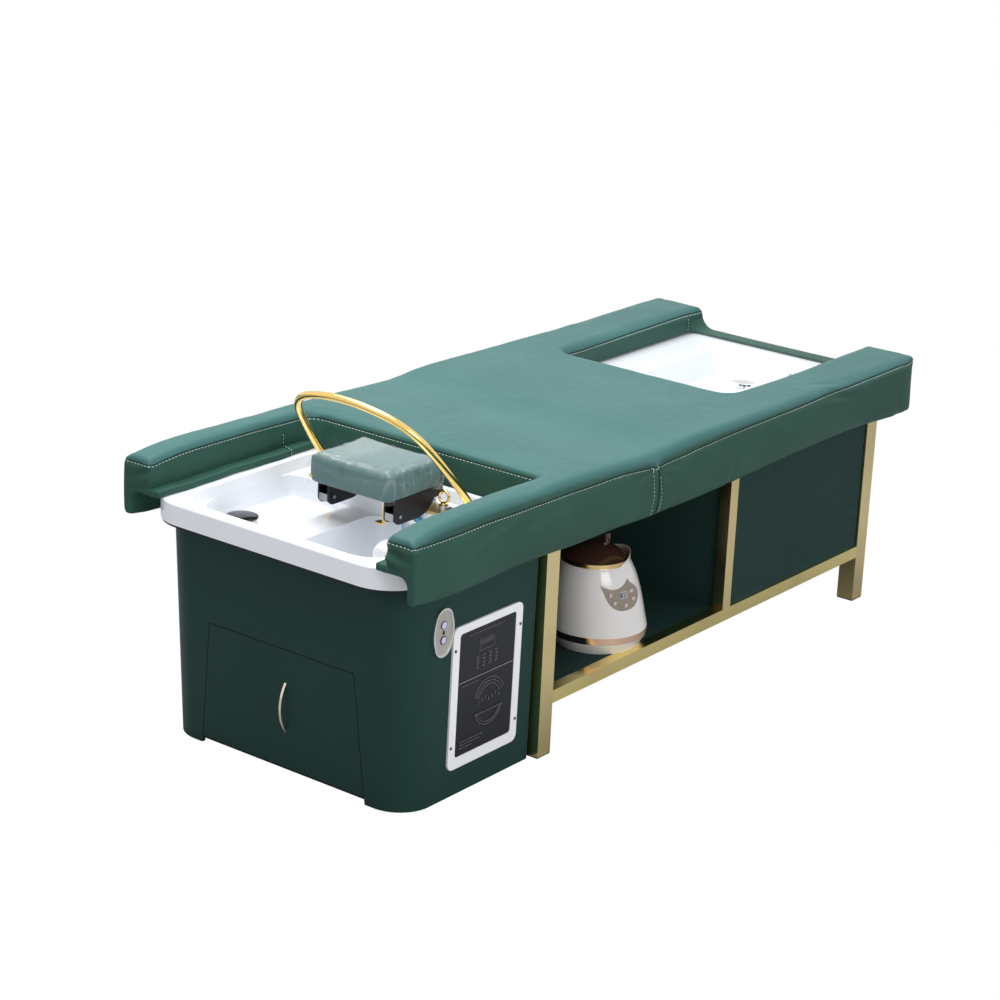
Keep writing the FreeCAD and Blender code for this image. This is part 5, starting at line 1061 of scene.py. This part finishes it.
for sign in (-1, 1):
    for x, low, high in ((-0.612, 0.598, 0.638), (0.963, 0.612, 0.640)):
        line = straight((x, high), (x + 0.002, low), 16)
        # Each join is a dark roll of leather: painted shade in the seam's groove.
        rolls.append(rolled(on_the_side(line, -0.0001, sign, 0.0), 0.0011, SEAM_SHADE_LEATHER))
        beside = [(u + 0.0035, v) for u, v in line]
        threads.append(stitched(on_the_side(beside, THREAD_OUT, sign, 0.0), *SIDE_STITCH))
piece("inner_stitches", joined(threads), "bed", THREAD)
piece("inner_join_shades", joined(rolls), "bed", SEAM_SHADE_LEATHER)
print("upright seams on both sides and on the inner faces of the arms")


# %% [markdown]
# The neck pillow is a block of foam in the same leather, a little paler. It is made in the same way
# as the top: a block, a voxel remesh, a crown with rolled edges, and a short cloth simulation.

# %% Neck pillow
PILLOW_BOX = (-0.770, -0.584, 0.117, 0.6185, 0.690)
PILLOW_VOXEL = 0.005
PILLOW_CAP = 0.003


def neck_cushion():
    x0, x1, half, z0, z1 = PILLOW_BOX
    corners = [(x, y, 0.010) for x, y in ((x0, -half), (x1, -half), (x1, half), (x0, half))]
    mesh = even_skin(prism(rounded(corners), z0, z1 - 0.004), PILLOW_VOXEL)
    points = positions(mesh)
    x, y, z = points.T.copy()
    edge = np.minimum.reduce([x - x0, x1 - x, half - np.abs(y)])
    high = smooth01(z, z0 + 0.012, z1 - 0.010)
    crown = -0.012 * (1 - quarter(np.maximum(edge, 0), 0.020)) + 0.005 * smooth01(edge, 0.01, 0.09)
    z += high * (crown + clouds(points, 12.0, 5.0) * 0.0012)
    share = np.clip((z - z0) / (z1 - z0), 0, 1)
    middle = (x0 + x1) / 2
    pull = 1 - 0.020 * smooth01(share, 0.35, 0.0) + 0.012 * np.sin(np.pi * share)
    x, y = middle + (x - middle) * pull, y * pull
    move_to(mesh, np.stack([x, y, z], 1))
    flat_base = positions(mesh)[:, 2] < z0 + 0.003
    return finer(puffed(mesh, PILLOW_CAP, flat_base))


pillow_mesh = neck_cushion()
neck_cushion_piece = piece("neck_cushion", pillow_mesh, "neck_rest", PILLOW_LEATHER)
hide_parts("neck_pillow")
print("neck pillow:", len(pillow_mesh.polygons), "faces")

# %% [markdown]
# The pillow still wears the clear film that it was packed in. Film lies close, so it starts as a copy
# of the pillow's skin, open underneath, and moved a little outwards. Sharp folds come from noise that
# is folded back on itself, and they are deepest at the corners and on the two narrow sides, where the
# spare film was tucked in. An attribute says how much haze each place has. The white that it brings
# is mostly painted sheen: stronger on the faces that look up, where the light falls, and along the
# folds as painted highlights.

# %% Clear film
FILM_GAP = 0.0014


def ridges(points, scale, shift):
    """Noise folded back on itself: 1 on a sharp ridge, 0 in the hollows."""
    return 1 - np.minimum(np.abs(clouds(points, scale, shift)) * 3.0, 1)


def film_mesh():
    made = bmesh.new()
    made.from_mesh(pillow_mesh)
    x0, x1, half, z0, z1 = PILLOW_BOX
    base = z0 + 0.0045
    under = [f for f in made.faces if f.normal.z < -0.35 or f.calc_center_median().z < base]
    bmesh.ops.delete(made, geom=under, context="FACES")
    normals = np.array([tuple(v.normal) for v in made.verts])
    mesh = bpy.data.meshes.new("film")
    made.to_mesh(mesh)
    made.free()
    points = positions(mesh)
    x, y, z = points.T
    share = np.clip((z - z0) / (z1 - z0), 0, 1)
    to_end, to_narrow = np.minimum(x - x0, x1 - x), half - np.abs(y)
    to_side = np.minimum(to_end, to_narrow)
    beside = smooth01(to_side, 0.016, 0.002)
    corner = np.exp(-((to_end / 0.020) ** 2 + (to_narrow / 0.020) ** 2))
    narrow = smooth01(np.abs(y), half - 0.008, half)
    upright = points * np.array((1.0, 1.0, 0.30))
    pleats = ridges(upright, 46.0, 3.0) * beside * (0.35 + 0.65 * np.maximum(narrow, corner))
    crumple = ridges(points, 55.0, 17.0) * np.exp(-((share - 0.88) / 0.16) ** 2)
    crumple = crumple * smooth01(to_side, 0.035, 0.004)
    loose = clouds(points, 20.0, 9.0) * 0.0006
    out = FILM_GAP + loose + 0.0034 * pleats + 0.0014 * crumple
    out += 0.0060 * corner * smooth01(share, 0.95, 0.35) * (0.4 + ridges(upright, 60.0, 31.0))
    out += 0.0020 * smooth01(share, 0.25, 0.0) * (0.5 + 0.5 * clouds(points, 30.0, 2.0))
    moved = points + normals * out[:, None]
    moved[:, 2] -= 0.005 * smooth01(share, 0.22, 0.0) * (1 + 0.15 * clouds(points, 16.0, 8.0) + corner)
    move_to(mesh, moved)
    front = smooth01(-normals[:, 0], 0.5, 0.9)
    level = smooth01(normals[:, 2], 0.55, 0.95)
    # Painted sheen: more white on faces that look up, where the light falls, and painted highlights along the
    # pleats and crumples, where some real haze also shows.
    haze_and_sheen = 0.13 * level + 0.02 * front
    haze_and_sheen += 0.08 * smooth01(clouds(points, 9.0, 40.0), -0.1, 0.4) * level
    haze_and_sheen += 0.24 * crumple ** 4 + 0.20 * pleats ** 3 + 0.05
    mark_points(mesh, "haze_and_sheen", haze_and_sheen)
    shade_smooth(mesh)
    return mesh


def film_finish():
    finish = Finish("Clear_film", (0.86, 0.92, 0.93), 0.14, specular_ior_level=0.9, coat_weight=0.8,
                    coat_roughness=0.03)
    haze_and_sheen = finish.node("ShaderNodeAttribute", {"attribute_name": "haze_and_sheen"}, output="Fac")
    streaks = finish.noise(70, 4, where=finish.place((1, 1, 0.35)))
    # The white film shows as much as this attribute says: partly real haze, mostly painted sheen and
    # highlights.
    finish.feed("Alpha", (haze_and_sheen + (streaks - 0.5) * 0.16).smooth(-0.04, 1.0) * 1.05 + 0.02)
    finish.feed("Roughness", 0.1 + finish.noise(90, 3) * 0.12)
    finish.bump(finish.noise(110, 4, where=finish.place((1, 1, 0.4))), 0.5, 0.0012)
    return finish.material


FILM = film_finish()
film = film_mesh()
neck_film = piece("neck_film", film, "neck_rest", FILM)

# %% [markdown]
# The small things are what make an object read as real: rows of spray nozzles, the thin lines on the
# sign, the marks of the keys. Round ones come from one tree that puts a small dome on each point, and
# lines come from the tree that rolls a thin bead along a path.

# %% Domes on points
def dome_tree():
    """A small flattened dome on each point, turned to the point's own direction."""
    domes = Repeater("Dome_on_points", "Radius", "Height", "Material")
    way = domes.node("GeometryNodeInputNamedAttribute", {"data_type": "FLOAT_VECTOR"}, Name="way")
    turn = domes.node("FunctionNodeAlignRotationToVector", {"axis": "Z"}, Vector=way)
    ball = domes.node("GeometryNodeMeshUVSphere", Segments=10, Rings=6, Radius=1.0)
    size = domes.node("ShaderNodeCombineXYZ", X=domes.given["Radius"], Y=domes.given["Radius"],
                      Z=domes.given["Height"])
    spots = domes.node("GeometryNodeMeshToPoints", Mesh=domes.given["Geometry"])
    domes.close(domes.node("GeometryNodeInstanceOnPoints", Points=spots, Instance=ball, Rotation=turn,
                           Scale=size))
    return domes


DOMES = dome_tree()


def points_mesh(places, ways):
    mesh = bpy.data.meshes.new("places")
    mesh.from_pydata([tuple(p) for p in places], [], [])
    data = mesh.attributes.new("way", "FLOAT_VECTOR", "POINT").data
    data.foreach_set("vector", [c for way in ways for c in way])
    return mesh


def domes(name, places, ways, radius, height, body, slot, material):
    mesh = DOMES.run(points_mesh(places, ways), Radius=radius, Height=height, Material=material)
    return piece(name, mesh, body, material)


# %% Spray nozzles of the hand shower, and painted shade in the arch's holes
NOZZLE_GREY = moulding("Nozzle_rubber", (0.16, 0.17, 0.18), 0.5)
NOZZLE_RINGS = 5
RING_STEP = 0.0042
NOZZLE_OUT = 0.0009
face_side = Vector((0, 1, 0))
face_up = SPRAY_WAY.cross(face_side).normalized()
nozzles = []
for ring in range(1, NOZZLE_RINGS + 1):
    for step in range(ring * 6):
        turn = 2 * math.pi * step / (ring * 6) + ring * 0.3
        radius = ring * RING_STEP
        nozzles.append(SPRAY_MIDDLE + (face_side * math.cos(turn) + face_up * math.sin(turn)) * radius
                       + SPRAY_WAY * NOZZLE_OUT)
domes("spray_nozzles", nozzles, [tuple(SPRAY_WAY)] * len(nozzles), 0.0009, 0.0008, "shower",
      "grey_plastic", NOZZLE_GREY)

ARCH_FOOT = Vector((-0.580, 0, 0.582))
ARCH_RISE = 0.340
ARCH_CROWN = 0.2909
ARCH_LEAN = math.radians(40)
ARCH_HOLES = 17
arch_tree = ray_target(nodes["spray_arch"].data)
lean_way = Vector((-math.sin(ARCH_LEAN), 0, math.cos(ARCH_LEAN)))
middle_of_crown = ARCH_FOOT + lean_way * (ARCH_RISE - ARCH_CROWN)
holes, hole_ways = [], []
for step in range(ARCH_HOLES):
    turn = math.radians(30 + step * 7.5)
    outward = lean_way * math.sin(turn) + Vector((0, math.cos(turn), 0))
    place = arch_tree.ray_cast(middle_of_crown, outward, 0.4)[0]
    if place is not None:
        holes.append(place)
        hole_ways.append(tuple(-outward))
# The arch's spray holes are small black domes: painted shade in each hole.
domes("arch_hole_shades", holes, hole_ways, 0.0019, 0.0009, "arch", "black_rubber", BLACK_RUBBER)
print("nozzles:", len(nozzles), "in the hand shower and", len(holes), "in the arch")

# %% [markdown]
# The sign on the casing tells how the bed is used. Its words and its drawing are left plain here: rows
# of short bars stand for lines of words, and simple outlines of a basin, drops and an arch of water
# for the drawing. A champagne line parts the two halves.

# %% Lines on the sign
SIGN = (-0.8105, -0.6105, 0.094, 0.390)
SIGN_INK = moulding("Sign_ink", (0.24, 0.24, 0.27), 0.5)
SIGN_Y = float(positions(nodes["instruction_plate"].data)[:, 1].min()) - 0.0001


def on_sign(across, up):
    """A place on the sign, from shares of its width and height."""
    x0, x1, z0, z1 = SIGN
    return (x0 + (x1 - x0) * across, SIGN_Y, z0 + (z1 - z0) * up)


def drawn(paths, width, material, closed=False):
    return joined([rolled(path, width, material, closed) for path in paths])


def bars(x0, x1, height, lengths, gap=0.012):
    """A row of short bars, in place of words."""
    rows, place = [], x0
    for length in lengths:
        if place + length > x1:
            break
        rows.append([on_sign(place, height), on_sign(place + length, height)])
        place += length + gap
    return rows


def arc_on_sign(middle, radius, start, end, steps=14):
    turns = np.radians(np.linspace(start, end, steps))
    shape = (SIGN[3] - SIGN[2]) / (SIGN[1] - SIGN[0])
    x, z = middle
    return [on_sign(x + radius * math.cos(t), z + radius * math.sin(t) / shape) for t in turns]


WORDS = (0.05, 0.03, 0.06, 0.04, 0.07, 0.03, 0.05, 0.06, 0.04, 0.05, 0.03, 0.06)
strokes = bars(0.16, 0.86, 0.955, WORDS)
strokes += [[on_sign(*p) for p in ((0.36, 0.80), (0.62, 0.80), (0.62, 0.89), (0.36, 0.89), (0.36, 0.80))]]
strokes += [[on_sign(0.38, level), on_sign(0.60, level)] for level in (0.872, 0.862, 0.852)]
for row in range(4):
    for column in range(4):
        x, z = 0.31 + column * 0.11, 0.76 - row * 0.028
        for down, length in ((0, 0.055), (0.009, 0.035)):
            strokes += [[on_sign(x, z - down), on_sign(x + length, z - down)]]
strokes += bars(0.06, 0.40, 0.565, WORDS[3:])
strokes += [arc_on_sign((0.56, 0.34), r, 200, 340) for r in (0.25, 0.22)]
strokes += [[on_sign(0.31, 0.283), on_sign(0.81, 0.283)]]
strokes += [arc_on_sign((0.56, 0.36), r, 20, 160) for r in (0.20, 0.24, 0.28)]
for k in range(7):
    x, z = 0.38 + 0.06 * k, 0.36 + 0.012 * (k % 3)
    strokes += [[on_sign(x, z), on_sign(x, z + 0.03)]]
for end, height, first in ((0.50, 0.115, 1), (0.46, 0.09, 4), (0.3, 0.065, 0)):
    strokes += bars(0.06, end, height, WORDS[first:])
piece("sign_marks", drawn(strokes, 0.00045, SIGN_INK), "bed", SIGN_INK)
rule = [[on_sign(0.01, 0.60), on_sign(0.99, 0.60)]]
piece("sign_rule", drawn(rule, 0.0005, CHAMPAGNE), "bed", CHAMPAGNE)
print("lines on the sign:", len(strokes))

# %% [markdown]
# The oval switch has a dark ring round each button and three small dark marks between them. The
# screws of the sign have a cross recess, drawn as black lines of painted shade. The steamer's panel has
# a small screen with a pale rim and two lit digits, and each key has a mark.

# %% Marks on the switch and the screws
SWITCH = (-0.874, 0.414)
switch_y = float(positions(nodes["switch_plate"].data)[:, 1].min())


def ring_path(middle, radius, axis_a, axis_b, steps=24):
    turns = np.linspace(0, 2 * math.pi, steps, endpoint=False)
    return [Vector(middle) + axis_a * (radius * math.cos(t)) + axis_b * (radius * math.sin(t)) for t in turns]


ALONG_X, ALONG_Z = Vector((1, 0, 0)), Vector((0, 0, 1))
x, z = SWITCH
rings = [ring_path((x, switch_y, z + rise), 0.0088, ALONG_X, ALONG_Z) for rise in (0.0175, -0.0175)]
tally = [[(x + 0.0022 * k, switch_y, z + end) for end in (-0.004, 0.004)] for k in (-1, 0, 1)]
marks = [drawn(rings, 0.0011, BLACK_PLASTIC, closed=True), drawn(tally, 0.0006, BLACK_PLASTIC)]
piece("switch_marks", joined(marks), "bed", BLACK_PLASTIC)


def islands(mesh):
    """The points of each separate part of a mesh."""
    made = bmesh.new()
    made.from_mesh(mesh)
    bmesh.ops.remove_doubles(made, verts=made.verts, dist=1e-6)
    left, parts = set(made.verts), []
    while left:
        stack, part = [left.pop()], []
        while stack:
            vert = stack.pop()
            part.append(vert.co.copy())
            for edge in vert.link_edges:
                other = edge.other_vert(vert)
                if other in left:
                    left.remove(other)
                    stack.append(other)
        parts.append(np.array(part))
    made.free()
    return parts


# Each cross recess is two black lines: painted shade in the hollow.
recess_shades = []
for part in islands(nodes["panel_screws"].data):
    head_y = part[:, 1].min()
    front = part[part[:, 1] < head_y + 0.0005].mean(axis=0)
    for way in (ALONG_X, ALONG_Z):
        recess_shades.append([Vector(front) - way * 0.0018, Vector(front) + way * 0.0018])
piece("screw_recess_shades", drawn(recess_shades, 0.0005, BLACK_PLASTIC), "bed", BLACK_PLASTIC)
print("screws with a recess:", len(recess_shades) // 2)


# %% Marks on the steamer's panel
panel_tree = ray_target(nodes["steamer_panel"].data)
PANEL_TURN = math.radians(254)
PANEL_MIDDLE = 0.300
DIGIT_SIZE = 0.0055
panel_out = Vector((math.cos(PANEL_TURN), math.sin(PANEL_TURN), 0))
panel_side = Vector((-math.sin(PANEL_TURN), math.cos(PANEL_TURN), 0))
digits = Finish("Lit_digits", (0.75, 0.75, 0.74), 0.4, emission_strength=0.35)
digits.feed("Emission Color", digits.blend(digits.noise(200, 2), (0.9, 0.9, 0.88), (1, 1, 1)))
LIT_DIGITS = digits.material
SEGMENTS = {"3": "abcdg", "8": "abcdefg"}
CORNERS = {"a": ((0, 2), (1, 2)), "b": ((1, 2), (1, 1)), "c": ((1, 1), (1, 0)), "d": ((0, 0), (1, 0)),
           "e": ((0, 1), (0, 0)), "f": ((0, 2), (0, 1)), "g": ((0, 1), (1, 1))}


def on_panel(side, rise):
    """A place on the steamer's round panel, by how far it is to the side and up."""
    start = Vector((*STEAMER_AXIS, PANEL_MIDDLE + rise)) + panel_side * side + panel_out * 0.2
    place = panel_tree.ray_cast(start, -panel_out, 0.2)[0]
    return place + panel_out * 0.0003 if place is not None else None


DISPLAY = (-0.007, 0.005, 0.0115, 0.0075)
SCREEN = moulding("Display_screen", (0.075, 0.085, 0.10), 0.25, 0.02)
SCREEN_COLUMNS = 13
across, rise, half_wide, half_tall = DISPLAY
columns = np.linspace(across - half_wide, across + half_wide, SCREEN_COLUMNS)
rows = (rise - half_tall, rise, rise + half_tall)
screen_points = [on_panel(u, v) for v in rows for u in columns]
starts = [r * SCREEN_COLUMNS + c for r in range(2) for c in range(SCREEN_COLUMNS - 1)]
screen_faces = [(i, i + 1, i + SCREEN_COLUMNS + 1, i + SCREEN_COLUMNS) for i in starts]
piece("panel_screen", mesh_from("screen", screen_points, screen_faces), "steamer", SCREEN)
rim_line = [on_panel(u, rows[0]) for u in columns] + [on_panel(u, rows[2]) for u in columns[::-1]]
piece("panel_screen_rim", drawn([rim_line], 0.0007, KEY_CAP, closed=True), "steamer", KEY_CAP)
digit_strokes = []
for digit, shift in (("3", -0.0142), ("8", -0.0042)):
    for name in SEGMENTS[digit]:
        ends = [on_panel(shift + u * DIGIT_SIZE, v * DIGIT_SIZE - 0.0005) for u, v in CORNERS[name]]
        if None not in ends:
            digit_strokes.append(ends)
digit_mesh = drawn(digit_strokes, 0.0004, LIT_DIGITS)
piece("panel_digits", digit_mesh, "steamer", LIT_DIGITS)
for number in range(1, 6):
    cap = positions(nodes["steamer_button_%d" % number].data)
    away = (cap - np.array((*STEAMER_AXIS, 0))) @ np.array(panel_out)
    front = Vector(cap[away > away.max() - 0.0003].mean(axis=0))
    mark = drawn([ring_path(front, 0.0022, panel_side, ALONG_Z, 12)], 0.0004, GREY_PLASTIC, closed=True)
    dash = drawn([[front + ALONG_Z * 0.0005, front + ALONG_Z * 0.0030]], 0.0004, GREY_PLASTIC)
    piece("key_mark_%d" % number, joined([mark, dash]), "key_%d" % number, GREY_PLASTIC)
print("digits and key marks:", len(digit_strokes), "strokes")


# %% [markdown]
# The picture has a plain white ground and soft light: tops are bright, and sides get about half as
# much. A wide lamp above the bed lights the tops, a smaller one the near side, and an even pale world
# gives the rest. The floor is mid grey, but the camera sees it as plain white. It sees the world so
# too, and so do mirrors and clear pieces.

# %% Floor, world and lamps
LAMPS = (
    ("Over_the_bed", (-0.5, 0.6, 3.6), (0, 0, 0.6), (3.6, 2.4), 165, (1.0, 1.0, 1.0)),
    ("Near_side", (-1.6, -4.2, 1.9), (-0.3, 0, 0.4), (2.0, 1.4), 62, (1.0, 0.99, 0.97)),
)
WORLD_COLOUR = (0.93, 0.96, 1.0, 1)
WORLD_STRENGTH = 0.52
WHITE = (1, 1, 1, 1)
FLOOR_HALF = 9
FLOOR_GREY = (0.42, 0.42, 0.42)


def stage_light():
    world = bpy.data.worlds.new("World")
    bpy.context.scene.world = world
    world.use_nodes = True
    tree = world.node_tree
    lit_part = tree.nodes["Background"]
    lit_part.inputs["Color"].default_value = WORLD_COLOUR
    lit_part.inputs["Strength"].default_value = WORLD_STRENGTH
    seen = new_node(tree, "ShaderNodeBackground", Color=WHITE, Strength=1.0)
    rays = tree.nodes.new("ShaderNodeLightPath")
    white = Wave(tree, rays.outputs["Is Camera Ray"]) + Wave(tree, rays.outputs["Is Glossy Ray"])
    white = white + Wave(tree, rays.outputs["Is Transmission Ray"])
    mix = new_node(tree, "ShaderNodeMixShader", i0=white, i1=lit_part.outputs[0], i2=seen.outputs[0])
    tree.links.new(mix.outputs[0], tree.nodes["World Output"].inputs["Surface"])
    for name, place, target, size, power, colour in LAMPS:
        data = bpy.data.lights.new(name, "AREA")
        data.shape = "RECTANGLE"
        data.size, data.size_y = size
        data.energy = power
        data.color = colour
        lamp = placed(name, data)
        lamp.location = place
        lamp.rotation_euler = (Vector(target) - Vector(place)).to_track_quat("-Z", "Y").to_euler()


def pale_floor():
    half = FLOOR_HALF
    corners = [(-half, -half, 0), (half, -half, 0), (half, half, 0), (-half, half, 0)]
    mesh = mesh_from("floor", corners, [(0, 1, 2, 3)])
    finish = Finish("Floor", FLOOR_GREY, 0.6)
    finish.feed("Roughness", 0.55 + finish.noise(3, 3) * 0.1)
    seen = finish.node("ShaderNodeEmission", Color=WHITE, Strength=1.0)
    rays = finish.node("ShaderNodeLightPath", output="Is Camera Ray")
    mixed = finish.node("ShaderNodeMixShader", i0=rays, i1=finish.shader.outputs[0], i2=seen)
    output = finish.tree.nodes["Material Output"]
    finish.tree.links.new(mixed.socket, output.inputs["Surface"])
    floor = placed("Floor", mesh)
    mesh.materials.append(finish.material)


stage_light()
pale_floor()
bpy.context.scene.view_settings.view_transform = "Standard"
print("lit by", len(LAMPS), "lamps and the world")
